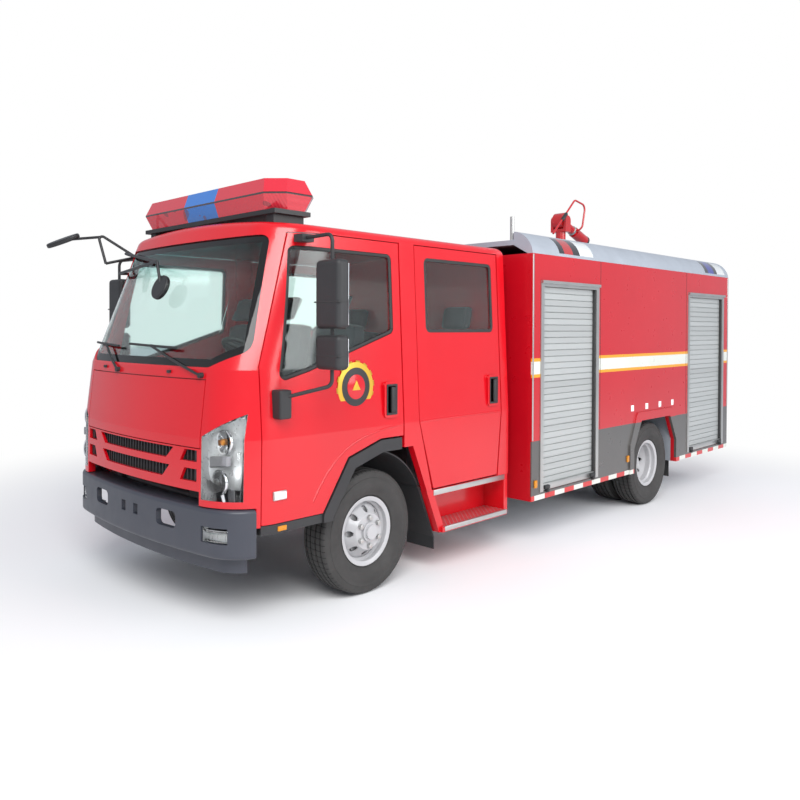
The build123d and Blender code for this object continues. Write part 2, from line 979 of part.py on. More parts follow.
def make_bumper():
    """Make the wrap-round bumper with its top flange, openings and the air dam below."""
    shell = bumper_form(0)
    middle = (bumper_top + bumper_bottom) / 2
    rim = [edge for edge in shell.edges()
           if abs(edge.center().Z - middle) > bumper_round and edge.center().X > ahead(bumper_round)]
    shell = fillet(rim, bumper_round)
    hollow = bumper_form(bumper_wall) & block(x_rear, x_front, -far_out, far_out,
                                              bumper_bottom + bumper_wall, bumper_top - bumper_wall)
    hollow += bumper_form(bumper_flange)
    shell -= hollow
    shell -= block(x_rear, ahead(bumper_cut), -far_out, far_out, 0, roof_height)
    for half, width, height, centre, round_off in (
        (tow_slot_half, tow_slot_width, tow_slot_height, tow_slot_centre, tow_slot_corner),
        (plate_hole_half, plate_hole_width, plate_hole_height, tow_slot_centre, 0),
        (fog_half, fog_width, fog_height, fog_centre, 0),
    ):
        hole = bumper_hole(half, width, height, centre, round_off)
        shell -= hole
        shell -= flip(hole)
    dam = bumper_form(dam_setback) - bumper_form(dam_setback + dam_wall)
    dam = Pos(0, 0, dam_bottom - bumper_bottom) * dam
    dam &= block(ahead(bumper_cut), x_front, -far_out, far_out, dam_bottom,
                 bumper_bottom + bumper_wall / 2)
    return shell + dam


# Equipment on the cab


def make_light_bar_lens():
    """Make the light bar's lens: a chamfered bar, widest at its seam."""
    def plan(z, taper):
        front = ahead(bar_front) - taper
        back = ahead(bar_front - bar_depth) + taper
        end = bar_half_length - taper
        cut = bar_end_chamfer
        points = [(front, -end + cut), (front, end - cut), (front - cut, end), (back + cut / 2, end),
                  (back, end - cut / 2), (back, -end + cut / 2), (back + cut / 2, -end),
                  (front - cut, -end)]
        return Polyline(*[(x, y, z) for x, y in points], close=True).wires()[0]
    base = bar_bottom + bar_base_height + seat_gap
    return Solid.make_loft([plan(base, bar_taper), plan(bar_seam, 0), plan(bar_top, bar_taper)],
                           ruled=True)


def make_light_bar_base():
    """Make the light bar's base plate and its two feet, seated on the roof."""
    top = bar_bottom + bar_base_height
    front = ahead(bar_front - bar_taper)
    back = ahead(bar_front - bar_depth + bar_taper)
    end = bar_half_length - bar_taper
    base = block(back, front, -end, end, bar_bottom, top)
    for side in (1, -1):
        middle = (front + back) / 2
        base += block(middle - bar_foot_length / 2, middle + bar_foot_length / 2,
                      side * bar_foot_half - bar_foot_width / 2,
                      side * bar_foot_half + bar_foot_width / 2,
                      roof_height - 3 * roof_edge_radius / 2, bar_bottom + bar_base_height / 2)
    return base - seat_form


def mirror_head(low, high, shift):
    """Make one mirror head as a rounded box."""
    x = ahead(mirror_ahead + shift)
    head = block(x - mirror_depth / 2, x + mirror_depth / 2, mirror_half - mirror_width / 2,
                 mirror_half + mirror_width / 2, low, high)
    return fillet(head.edges(), mirror_round)


def make_door_mirror():
    """Make the left mirrors: a large and a small head on one tube held by the door."""
    x = ahead(mirror_ahead)
    base_x = ahead(mirror_base_ahead)
    y_base = cab_half_width + mirror_base_proud / 2
    path = [
        (ahead(mirror_bracket_ahead), cab_top_half_width, mirror_bracket_height),
        (x, mirror_half, mirror_bracket_height),
        (x, mirror_half, mirror_small_low - 2 * mirror_bend),
        (base_x, y_base, mirror_base_high - mirror_bend),
        (base_x, y_base, mirror_base_low + mirror_bend),
    ]
    tube = bent_tube(path, mirror_tube_radius, mirror_bend)
    bracket = block(ahead(mirror_bracket_ahead) - mirror_bend, ahead(mirror_bracket_ahead) + mirror_bend,
                    cab_top_half_width - mirror_tube_radius, cab_half_width,
                    mirror_bracket_height - 2 * mirror_tube_radius,
                    mirror_bracket_height + 2 * mirror_tube_radius)
    base = block(base_x - mirror_base_length / 2, base_x + mirror_base_length / 2,
                 cab_cowl_half_width - mirror_round, cab_half_width + mirror_base_proud,
                 mirror_base_low, mirror_base_high)
    base = fillet(base.edges(), mirror_round / 2)
    heads = mirror_head(mirror_low, mirror_high, 0) + mirror_head(mirror_small_low, mirror_small_high, 0)
    return (tube + bracket + base) - seat_form + heads


def oval_mirror(centre, along, length, width, thickness):
    """Make a flat oval mirror whose long side points along a direction."""
    plane = Plane(origin=centre, x_dir=along, z_dir=Vector(*along).cross(Vector(0, 1, 0)))
    body = extrude(plane * Ellipse(length / 2, width / 2), amount=thickness)
    return fillet(body.edges(), thickness / 3)


def make_view_mirrors():
    """Make the front view mirrors on their tube frame at the right-hand windscreen pillar."""
    radius = view_tube_radius
    top = (cab_front_x(845, 2245), -845, 2245)
    low = (cab_front_x(858, 2120), -858, 2120)
    apex = (ahead(985), -30, 2146)
    frame = bent_tube([top, (ahead(800), -800, 2262), apex], radius, mirror_bend)
    frame += bent_tube([low, (ahead(850), -800, 2112), apex], radius, mirror_bend)
    wing = (ahead(930), -975, 2418)
    heel = (ahead(900), -905, 2190)
    frame += bent_tube([top, wing, heel], radius, mirror_bend / 2)
    frame += rod(heel, top, radius)
    tip = (ahead(1040), -1168, 2378)
    frame += rod((ahead(912), -961, 2388), tip, radius)
    drop = (ahead(1000), 38, 1990)
    frame += rod(apex, drop, radius)
    frame = frame - seat_form
    disc = Pos(ahead(1000), 40, 1975) * Rot(0, 68, 0) * Cylinder(view_mirror_radius, view_mirror_thickness)
    disc = fillet(disc.edges(), view_mirror_thickness / 3)
    oval = oval_mirror((ahead(1075), -1222, 2352), (0.55, -0.75, -0.28), 270, 130, view_mirror_thickness)
    return frame + disc + oval


def make_wiper(pivot, reach, blade):
    """Make one wiper: pivot boss, arm and blade, lying just off the glass."""
    def off_glass(y, z):
        return (cab_front_x(y, z) + wiper_stand, y, z)
    hub = off_glass(pivot, wiper_pivot_height)
    tip = off_glass(pivot - reach, wiper_tip_height)
    outer = off_glass(pivot - reach - blade / 2, wiper_tip_height + wiper_radius)
    inner = off_glass(pivot - reach + blade / 2, wiper_tip_height - wiper_radius)
    arm = curved_rod(hub, off_glass(pivot - reach / 2, (hub[2] + tip[2]) / 2), tip, wiper_radius)
    blade = curved_rod(outer, tip, inner, wiper_radius)
    boss = Pos(hub[0] - wiper_stand / 2, hub[1], hub[2]) * Rot(0, 90, 0) * Cylinder(
        2 * wiper_radius, wiper_stand * 2)
    return (arm + blade + boss + Pos(*tip) * Sphere(wiper_radius * 1.3)) - seat_form


# Cab interior


def make_front_seats():
    """Make the driver's seat and the front passenger bench as plain closed solids."""
    front = ahead(cushion_front_ahead)
    back = front - cushion_length
    low = floor_top + seat_gap
    profile = [
        (front, low),
        (front, cushion_top),
        (back + back_thickness, cushion_top),
        (back + back_thickness - back_rake, back_top),
        (back - back_rake, back_top),
        (back, low),
    ]
    driver = side_prism(profile, driver_half - driver_width / 2, driver_half + driver_width / 2,
                        seat_round)
    bench = side_prism(profile, -bench_outer, bench_inner, seat_round)
    return [driver, bench]


def make_rear_seat():
    """Make the rear bench as a plain closed solid against the cab's back wall."""
    front = behind(rear_cushion_front_behind)
    back = behind(cab_back) + cab_wall + moving_gap
    low = floor_top + seat_gap
    profile = [
        (front, low),
        (front, cushion_top),
        (back + back_thickness, cushion_top),
        (back + back_thickness - back_rake / 2, rear_back_top),
        (back, rear_back_top),
        (back, low),
    ]
    seat = side_prism(profile, -rear_seat_half, rear_seat_half, seat_round)
    return seat


def dash_profile(grow):
    """Give the dashboard's profile, with its rear face moved back by an amount."""
    back = ahead(dash_back_ahead - grow)
    return [
        (x_front, floor_top + seat_gap),
        (x_front, dash_top),
        (back + back_rake, dash_top),
        (back, dash_top - 2 * seat_round),
        (back + back_rake, seat_base_top),
        (back + 2 * back_rake, floor_top + seat_gap),
    ]


def make_dashboard():
    """Make the dashboard, shaped to the inside of the cab's front and clear of the doors' swing."""
    inside = cab_envelope(cab_wall + 2 * moving_gap)
    return side_prism(dash_profile(0), -dash_half, dash_half) & inside


def make_steering_wheel():
    """Make the steering wheel with three spokes, and its column down to the dashboard."""
    centre = (ahead(steering_ahead), steering_half, steering_height)
    place = Pos(*centre) * Rot(0, -steering_tilt, 0)
    wheel = place * Torus(steering_radius, steering_rim)
    for turn in (90, 210, 330):
        spoke = Rot(0, 0, turn) * Pos(steering_radius / 2, 0, 0) * Box(
            steering_radius, 2 * steering_rim, steering_rim)
        wheel += place * spoke
    wheel += place * Cylinder(3 * steering_rim, 2 * steering_rim)
    lean = radians(steering_tilt)
    reach = ahead(dash_back_ahead + 2 * back_rake) - centre[0]
    foot = (centre[0] + reach, centre[1], centre[2] - reach / sin(lean) * cos(lean))
    column = rod(centre, foot, 2 * steering_rim)
    return wheel + (column - side_prism(dash_profile(2 * seat_gap), 0, far_out))


# Wheels, axles and chassis


def make_tyre(y_middle):
    """Make a tyre: a hollow ring open at the rim, with round shoulders and side walls."""
    half = tyre_width / 2
    seat = rim_width / 2 - rim_wall - seat_gap
    shoulder = shoulder_width / 2
    mid_radius = (bead_radius + tyre_radius) / 2
    inner = tyre_radius - tyre_wall
    bulge = half - tyre_wall / 2
    side = [
        (bead_radius + seat_gap, seat),
        (flange_radius + 2 * seat_gap, seat),
        (mid_radius, half),
        (tyre_radius - 2 * tyre_wall, half - tyre_wall / 4),
        (tyre_radius - tread_crown, shoulder),
    ]
    lining = [
        (bead_radius + seat_gap, seat - tyre_wall),
        (mid_radius, bulge - tyre_wall / 2),
        (inner, shoulder - tyre_wall),
    ]
    profile = side + [(tyre_radius, 0)] + [(r, -y) for r, y in reversed(side)]
    profile += [(r, -y) for r, y in lining] + list(reversed(lining))
    ring = revolve(outline([(r, y, 0) for r, y in profile]), axis=Axis.Y)
    return Pos(0, y_middle, z_axle) * ring


def rim_barrel(y_middle):
    """Make the rim's barrel with its flanges and drop well."""
    half = rim_width / 2
    outer = [
        (flange_radius, -half),
        (bead_radius, -half + rim_wall),
        (bead_radius, -half / 2),
        (bead_radius - rim_well, -half / 3),
        (bead_radius - rim_well, half / 3),
        (bead_radius, half / 2),
        (bead_radius, half - rim_wall),
        (flange_radius, half),
    ]
    inner = [(r - rim_wall, y) for r, y in reversed(outer)]
    ring = revolve(outline([(r, y, 0) for r, y in outer + inner]), axis=Axis.Y)
    return Pos(0, y_middle, z_axle) * ring


def rim_disc(y_middle, y_hub):
    """Make the wheel's pressed disc, from the barrel's well to the hub face, with its holes."""
    y_well = y_middle + (rim_width / 12 if y_hub > y_middle else -rim_width / 12)
    rise = y_hub - y_well
    reach = bead_radius - rim_well - rim_wall / 2
    middle = (reach + stud_circle) / 2
    front = [
        (reach, y_well),
        (middle + disc_wall, y_well + 0.45 * rise),
        (stud_circle + 2 * disc_wall, y_hub),
        (hub_radius - disc_wall, y_hub),
    ]
    back = [(r, y - disc_wall) for r, y in reversed(front)]
    disc = revolve(outline([(r, y, 0) for r, y in front + back]), axis=Axis.Y)
    for index in range(hand_hole_count):
        turn = 2 * pi * index / hand_hole_count
        x = hand_hole_circle * cos(turn)
        z = hand_hole_circle * sin(turn)
        disc -= cylinder_y(x, z, hand_hole_radius, min(y_well, y_hub) - 4 * disc_wall,
                           max(y_well, y_hub) + 4 * disc_wall)
    return Pos(0, 0, z_axle) * disc


def stud_ring(y0, y1):
    """Make the ring of wheel studs between two Y values."""
    studs = []
    for index in range(stud_count):
        turn = 2 * pi * (index + 0.5) / stud_count
        studs.append(cylinder_y(stud_circle * cos(turn), z_axle + stud_circle * sin(turn),
                                stud_radius, y0, y1))
    return studs


def make_front_rim():
    """Make the left front wheel with its hub and brake drum, turning on the spindle."""
    y_hub = y_front_wheel + disc_dish
    rim = rim_barrel(y_front_wheel) + rim_disc(y_front_wheel, y_hub)
    rim += cylinder_y(0, z_axle, hub_radius, y_knuckle_face + moving_gap, y_hub + hub_cap_length / 2)
    rim += cylinder_y(0, z_axle, hub_cap_radius, y_hub, y_hub + hub_cap_length)
    rim += cylinder_y(0, z_axle, front_drum_radius, y_knuckle_face + moving_gap,
                      y_knuckle_face + moving_gap + front_drum_width)
    for stud in stud_ring(y_knuckle_face + front_drum_width, y_hub + stud_length):
        rim += stud
    bore = cylinder_y(0, z_axle, spindle_radius + seat_gap, 0, y_hub + seat_gap)
    return Pos(x_front_axle, 0, 0) * (rim - bore)


def make_rear_rims():
    """Make the left rear twin wheels with their hub and brake drum as one turning piece."""
    rim = rim_barrel(y_rear_outer) + rim_barrel(y_rear_inner)
    rim += rim_disc(y_rear_outer, y_rear_hub + disc_wall)
    rim += Pos(0, 2 * y_rear_hub, 0) * mirror(rim_disc(y_rear_outer, y_rear_hub + disc_wall),
                                              about=Plane.XZ)
    drum_y = y_rear_hub - disc_wall - rear_drum_width
    rim += cylinder_y(0, z_axle, rear_drum_radius, drum_y, y_rear_hub - disc_wall / 2)
    rim += cylinder_y(0, z_axle, hub_radius, y_rear_hub - disc_wall, y_rear_hub + 2 * hub_cap_length)
    rim += cylinder_y(0, z_axle, hub_cap_radius, y_rear_hub, y_rear_hub + 3 * hub_cap_length)
    for stud in stud_ring(y_rear_hub - disc_wall, y_rear_hub + disc_wall + stud_length):
        rim += stud
    bore = cylinder_y(0, z_axle, rear_spindle_radius + seat_gap, 0, y_rear_hub + seat_gap)
    return Pos(x_rear_axle, 0, 0) * (rim - bore)


y_knuckle_face = kingpin_half + boss_radius + moving_gap + knuckle_web


def make_knuckle(pinned):
    """Make a left-hand steering knuckle: two ears on a kingpin, web, spindle, arm and its pin."""
    x = x_front_axle
    low = z_axle - boss_height / 2 - moving_gap
    high = z_axle + boss_height / 2 + moving_gap
    web = block(x - ear_radius, x + ear_radius, y_knuckle_face - knuckle_web, y_knuckle_face,
                low - ear_thickness, high + ear_thickness)
    knuckle = web + cylinder_z(x, kingpin_half, kingpin_radius, low - ear_thickness / 2,
                               high + ear_thickness / 2)
    for z0 in (low - ear_thickness, high):
        knuckle += cylinder_z(x, kingpin_half, ear_radius, z0, z0 + ear_thickness)
        knuckle += block(x - ear_radius, x + ear_radius, kingpin_half, y_knuckle_face, z0,
                         z0 + ear_thickness)
    y_hub = y_front_wheel + disc_dish
    knuckle += cylinder_y(x, z_axle, spindle_radius, y_knuckle_face - knuckle_web / 2, y_hub)
    arm_low = low - ear_thickness
    tip_x = x - arm_length
    tip_y = kingpin_half - arm_inset
    arm = plan_prism(
        [
            (x, kingpin_half - arm_radius),
            (x, kingpin_half + arm_radius),
            (tip_x, tip_y + arm_radius),
            (tip_x, tip_y - arm_radius),
        ],
        arm_low,
        arm_low + arm_thickness,
    )
    arm += cylinder_z(tip_x, tip_y, arm_radius, arm_low, arm_low + arm_thickness)
    knuckle += arm
    if pinned:
        knuckle += cylinder_z(tip_x, tip_y, tie_pin_radius,
                              arm_low - tie_eye_height - 2 * seat_gap,
                              arm_low + arm_thickness / 2)
    return knuckle


def make_tie_rod():
    """Make the tie rod: an eye round the left arm's pin, a closed ball joint below the right arm."""
    top = z_axle - boss_height / 2 - moving_gap - ear_thickness - seat_gap
    x = x_front_axle - arm_length
    y = kingpin_half - arm_inset
    low = top - tie_eye_height
    bar = cylinder_y(x, (top + low) / 2, tie_rod_radius, -y, y)
    bar += cylinder_z(x, y, tie_eye_radius, low, top)
    bar += cylinder_z(x, -y, tie_eye_radius, low, top - open_joint_gap)
    return bar - cylinder_z(x, y, tie_pin_radius + seat_gap, low - tie_eye_height,
                            top + tie_eye_height)


def make_front_axle():
    """Make the dropped I-beam front axle with a kingpin boss at each end."""
    high = z_axle + beam_height / 2
    low = z_axle - beam_height / 2
    neck = (beam_height - boss_height) / 2
    half = [
        (beam_drop_half, high - beam_drop),
        (spring_half_spacing - spring_width / 2 - neck, high),
        (spring_pad_half, high),
        (kingpin_half, high - neck),
        (kingpin_half, low + neck),
        (spring_pad_half, low),
        (beam_drop_half + beam_drop, low),
        (beam_drop_half - beam_drop, low - beam_drop),
    ]
    half[0] = (beam_drop_half - beam_drop, high - beam_drop)
    right = [(-y, z) for y, z in half]
    points = half + right[4:][::-1] + right[:4][::-1]
    x = x_front_axle
    beam = front_prism(points, x - beam_width / 2, x + beam_width / 2)
    pocket_reach = spring_half_spacing - spring_width
    for side in (1, -1):
        x_web = x + side * beam_web / 2
        x_out = x + side * beam_width
        beam -= block(x_web, x_out, -pocket_reach + beam_drop, pocket_reach - beam_drop,
                      low - beam_drop + beam_flange, high - beam_drop - beam_flange)
    for side in (1, -1):
        beam += cylinder_z(x, side * kingpin_half, boss_radius, z_axle - boss_height / 2,
                           z_axle + boss_height / 2)
        beam -= cylinder_z(x, side * kingpin_half, kingpin_radius + seat_gap, 0, rail_top)
    return beam


def make_rear_axle():
    """Make the rear axle: tubes, banjo casing with its round cover, and spindles."""
    x = x_rear_axle
    y_end = y_rear_hub - disc_wall - rear_drum_width - moving_gap
    axle = cylinder_y(x, z_axle, rear_tube_radius, -y_end, y_end)
    axle += cylinder_y(x, z_axle, rear_spindle_radius, -y_rear_hub, y_rear_hub)
    banjo = Pos(x, 0, z_axle) * Rot(0, 90, 0) * Cylinder(banjo_radius, banjo_width)
    axle += fillet(banjo.edges(), banjo_width / 5)
    nose = Pos(x + banjo_width, 0, z_axle) * Rot(0, 90, 0) * Cylinder(
        shaft_radius * 1.6, 2 * banjo_width)
    return axle + nose


def spring_pack(x_axle, length, z_seat):
    """Make one leaf spring pack with its eyes and hangers, on an axle's seat."""
    half = length / 2
    leaves = None
    top = z_seat + spring_leaf_count * spring_leaf
    eye_z = rail_top - rail_height - seat_gap - spring_eye_radius
    for index in range(spring_leaf_count):
        reach = half * (1 - spring_step * index)
        rise = (eye_z - top) * (reach / half) ** 2
        upper = top - index * spring_leaf + (seat_gap if index else 0)
        lower = top - (index + 1) * spring_leaf
        y0 = spring_half_spacing - spring_width / 2
        leaf = extrude(
            make_face(
                [
                    ThreePointArc((x_axle - reach, y0, upper + rise), (x_axle, y0, upper),
                                  (x_axle + reach, y0, upper + rise)),
                    Line((x_axle + reach, y0, upper + rise), (x_axle + reach, y0, lower + rise)),
                    ThreePointArc((x_axle + reach, y0, lower + rise), (x_axle, y0, lower),
                                  (x_axle - reach, y0, lower + rise)),
                    Line((x_axle - reach, y0, lower + rise), (x_axle - reach, y0, upper + rise)),
                ]
            ),
            amount=spring_width,
            dir=(0, 1, 0),
        )
        leaves = leaf if leaves is None else leaves + leaf
    y_out = spring_half_spacing + spring_width / 2
    for side in (1, -1):
        eye_x = x_axle + side * half
        leaves += cylinder_y(eye_x, eye_z, spring_eye_radius, y_out - spring_width, y_out)
        leaves += block(eye_x - hanger_length / 2, eye_x + hanger_length / 2,
                        y_out - spring_width, y_out, eye_z, eye_z + spring_eye_radius)
    return leaves


def make_springs():
    """Make the four leaf springs."""
    front = spring_pack(x_front_axle, spring_front_length, z_axle + beam_height / 2 + seat_gap)
    rear = spring_pack(x_rear_axle, spring_rear_length, z_axle + rear_tube_radius + seat_gap)
    return both_sides(front) + both_sides(rear)


def make_rail():
    """Make the left chassis rail, a channel open to the middle."""
    back = x_body_rear + rear_wall_recess + body_wall + seat_gap
    front = ahead(rail_ahead)
    low = rail_top - rail_height
    rail = block(back, front, rail_half_width - rail_flange, rail_half_width, low, rail_top)
    return rail - block(back, front, rail_half_width - rail_flange, rail_half_width - rail_wall,
                        low + rail_wall, rail_top - rail_wall)


def make_crossmembers():
    """Make the round crossmembers between the two rails."""
    start = x_body_rear + 3 * rear_wall_recess
    end = behind(body_front_behind - 2 * rail_flange)
    spacing = (end - start) / (crossmember_count - 2)
    places = [start + index * spacing for index in range(crossmember_count - 1)]
    places.append(ahead(rail_ahead - rail_flange))
    reach = rail_half_width - rail_wall - seat_gap
    z = rail_top - rail_height / 2
    return [cylinder_y(x, z, crossmember_radius, -reach, reach) for x in places]


def make_engine():
    """Make the engine and gearbox as one plain block between the rails, and the propshaft."""
    front = ahead(engine_ahead)
    back = front - engine_length
    engine = block(back, front, -engine_width / 2, engine_width / 2, engine_bottom, engine_top)
    gearbox = block(back - engine_length / 2, back, -engine_width / 4, engine_width / 4,
                    engine_bottom, engine_top - engine_width / 4)
    return fillet((engine + gearbox).edges().filter_by(Axis.X), seat_round)


def make_propshaft():
    """Make the propshaft from the gearbox to the rear axle's nose."""
    gearbox_end = ahead(engine_ahead) - 1.5 * engine_length
    nose_end = x_rear_axle + 2 * banjo_width
    start = (gearbox_end - seat_gap, 0, (engine_bottom + engine_top) / 2 - shaft_radius)
    end = (nose_end + seat_gap, 0, z_axle)
    shaft = rod(start, end, shaft_radius)
    ends = block(nose_end + seat_gap, start[0], -far_out, far_out, 0, roof_height)
    long_shaft = rod((start[0] + shaft_radius, 0, start[2] + shaft_radius / 20), end, shaft_radius)
    return (shaft + long_shaft) & ends


# Equipment body

x_body_front = behind(body_front_behind)
x_body_rear = x_rear + body_rear_margin
side_openings = [(shutter_front_start, shutter_front_end), (shutter_rear_start, shutter_rear_end)]


def rear_arch_outline(grow=0):
    """Give the rear wheel arch's outline in the body side, grown outwards."""
    half = rear_arch_half + grow
    top = rear_arch_top + grow
    x = x_rear_axle
    return [
        (x - half, body_bottom),
        (x - half, rear_arch_shoulder + grow / 2),
        (x - half + rear_arch_slant, top),
        (x + half - rear_arch_slant, top),
        (x + half, rear_arch_shoulder + grow / 2),
        (x + half, body_bottom),
    ]


def make_body_side():
    """Make the left body side with its shutter openings and the flared rear wheel arch."""
    y_in = body_half_width - body_wall
    side = block(x_body_rear, x_body_front, y_in, body_half_width, body_bottom, body_side_top)
    flare = side_prism(rear_arch_outline(rear_flare_band), y_in, body_half_width + rear_flare_proud)
    side += flare
    low = shutter_low - seat_gap
    high = shutter_high + seat_gap
    for start, end in side_openings:
        side -= block(behind(end) - seat_gap, behind(start) + seat_gap, y_in, far_out + body_wall,
                      low, high)
    arch = [(x, z if z > body_bottom else 0) for x, z in rear_arch_outline()]
    return side - side_prism(arch, y_in, far_out)


def make_front_wall():
    """Make the body's front wall, with the gap for the chassis between the low lockers."""
    y_in = body_half_width - body_wall - seat_gap
    wall = block(x_body_front - body_wall, x_body_front, -y_in, y_in, body_bottom, body_side_top)
    return wall - block(x_body_front - body_wall, x_body_front, -locker_half, locker_half,
                        body_bottom, body_floor_top)


def make_rear_wall():
    """Make the body's rear wall, set in from the side panels, with the rear shutter's opening."""
    y_in = body_half_width - body_wall - seat_gap
    x = x_body_rear + rear_wall_recess
    wall = block(x, x + body_wall, -y_in, y_in, body_bottom, body_side_top)
    half = rear_shutter_half + seat_gap
    return wall - block(x, x + body_wall, -half, half, rear_shutter_low - seat_gap,
                        rear_shutter_high + seat_gap)


def make_roof_deck():
    """Make the body's roof deck, between the cornices."""
    edge = cornice_half - cornice_lip - seat_gap
    deck = block(x_body_rear, x_body_front, -edge, edge,
                 body_deck_top - body_deck_thickness, body_deck_top)
    return deck


def make_cornice():
    """Make the left roof cornice, a curved fairing that leans in over the body side."""
    y_in = body_half_width - body_wall
    low = body_side_top + seat_gap
    x = x_body_rear
    face = make_face(
        [
            ThreePointArc((x, body_half_width, low), (x, cornice_bulge_half, cornice_bulge_height),
                          (x, cornice_half, cornice_top)),
            Line((x, cornice_half, cornice_top), (x, cornice_half - cornice_lip, cornice_top)),
            Line((x, cornice_half - cornice_lip, cornice_top),
                 (x, cornice_half - cornice_lip, body_deck_top - body_deck_thickness)),
            Line((x, cornice_half - cornice_lip, body_deck_top - body_deck_thickness),
                 (x, y_in, low)),
            Line((x, y_in, low), (x, body_half_width, low)),
        ]
    )
    return extrude(face, amount=x_body_front - x_body_rear, dir=(1, 0, 0))


def corner_lamp_zone(start, grow=0):
    """Give the space of one corner lamp unit in the cornice."""
    return block(behind(start + corner_lamp_length) - grow, behind(start) + grow,
                 cornice_half + corner_lamp_depth / 2, far_out, corner_lamp_low - grow,
                 corner_lamp_high + grow)


def make_cornices_and_lamps():
    """Make the cornices with their lamp recesses, and the lamp units that fill them."""
    cornice = make_cornice()
    lamps = []
    inner = Pos(0, -corner_lamp_depth, 0) * cornice
    for start in (corner_lamp_front, corner_lamp_rear):
        unit = (cornice & corner_lamp_zone(start)) - inner
        lamps.append(max(unit.solids(), key=lambda s: s.volume))
    for start in (corner_lamp_front, corner_lamp_rear):
        recess = (make_cornice() & corner_lamp_zone(start, seat_gap)) - Pos(0, -seat_gap, 0) * inner
        cornice -= recess
    return both_sides(cornice), lamps + [flip(lamp) for lamp in lamps]


def curtain(length, low, high):
    """Make a roller shutter's curtain, lying along X from zero, facing +Y at zero."""
    count = round((high - low) / slat_pitch)
    pitch = (high - low) / count
    points = []
    for index in range(count):
        z = low + index * pitch
        points += [(0, z + slat_groove / 2), (0, z + pitch - slat_groove / 2),
                   (-slat_depth, z + pitch)]
    points = [(-slat_depth, low)] + points
    points += [(-slat_depth - slat_core, high), (-slat_depth - slat_core, low)]
    sheet = front_prism(points, 0, length)
    bar = block(0, length, -slat_depth, slat_depth, low, low + lift_bar_height)
    return sheet + bar


def shutter_frame_ring(length, low, high):
    """Make a shutter's frame, lying along X from zero, with its outer face at zero plus proud."""
    ring = block(0, length, -body_wall, shutter_frame_proud, low, high)
    ring -= block(shutter_frame, length - shutter_frame, -body_wall, shutter_frame_proud,
                  low, high - shutter_frame)
    hood = block(0, length, shutter_frame_proud, shutter_hood, high - shutter_frame / 2, high)
    return ring + hood


def make_shutters():
    """Make the roller curtains and their frames: two on each side and one at the back."""
    curtains = []
    frames = []
    for start, end in side_openings:
        length = end - start
        frame = Pos(behind(end), body_half_width, 0) * shutter_frame_ring(
            length, shutter_low, shutter_high)
        inside = length - 2 * shutter_frame - 2 * seat_gap
        sheet = Pos(behind(end) + shutter_frame + seat_gap, body_half_width - shutter_setback, 0) * (
            curtain(inside, shutter_low + seat_gap, shutter_high - shutter_frame - seat_gap))
        curtains += both_sides(sheet)
        frames += both_sides(frame)
    length = 2 * rear_shutter_half
    x = x_body_rear + rear_wall_recess
    turn = Rot(0, 0, 90)
    frame = Pos(x, -rear_shutter_half, 0) * turn * shutter_frame_ring(
        length, rear_shutter_low, rear_shutter_high)
    inside = length - 2 * shutter_frame - 2 * seat_gap
    sheet = Pos(x + shutter_setback, -rear_shutter_half + shutter_frame + seat_gap, 0) * turn * (
        curtain(inside, rear_shutter_low + seat_gap, rear_shutter_high - shutter_frame - seat_gap))
    return curtains + [sheet], frames + [frame]


def make_body_floor():
    """Make the body's raised centre floor on its two subframe runners."""
    low = body_floor_top - body_floor_thickness
    front = x_body_front - body_wall - seat_gap
    back = x_body_rear + rear_wall_recess + body_wall + seat_gap
    half = locker_half - seat_gap
    floor = block(back, front, -half, half, low, body_floor_top)
    for side in (1, -1):
        edge = side * rail_half_width
        floor += block(back, front, edge, edge - side * subframe_width, rail_top + seat_gap, low)
    return floor


def make_locker_floor():
    """Make the left lockers' floor: outer trays, inner wall and the box over the rear wheels."""
    front = x_body_front - body_wall - seat_gap
    back = x_body_rear + rear_wall_recess + body_wall + seat_gap
    y_out = body_half_width - body_wall - seat_gap
    tray = block(back, front, locker_half, y_out, body_bottom, body_floor_top)
    hollow = block(back, front, locker_half + locker_plate, y_out, body_bottom + locker_plate,
                   body_floor_top)
    tray -= hollow
    half = rear_arch_half + locker_plate
    x = x_rear_axle
    tray += block(x - half, x + half, locker_half, y_out, body_bottom, body_floor_top)
    return tray - block(x - rear_arch_half, x + rear_arch_half, locker_half, y_out, body_bottom,
                        rear_arch_top - locker_plate / 2)


def make_mudflap():
    """Make the left rear mud flap, hung under the locker floor."""
    x = behind(mudflap_behind)
    return block(x - mudflap_thickness, x, y_rear_inner, y_rear_inner + mudflap_width,
                 mudflap_bottom, body_bottom - seat_gap)


# Roof monitor

x_monitor = behind(monitor_behind)


def make_monitor_base():
    """Make the monitor's flange and riser pipe on the roof deck."""
    z = body_deck_top + seat_gap
    base = cylinder_z(x_monitor, 0, monitor_flange_radius, z, z + monitor_flange_height)
    return base + cylinder_z(x_monitor, 0, monitor_pipe_radius, z, monitor_swivel_height)


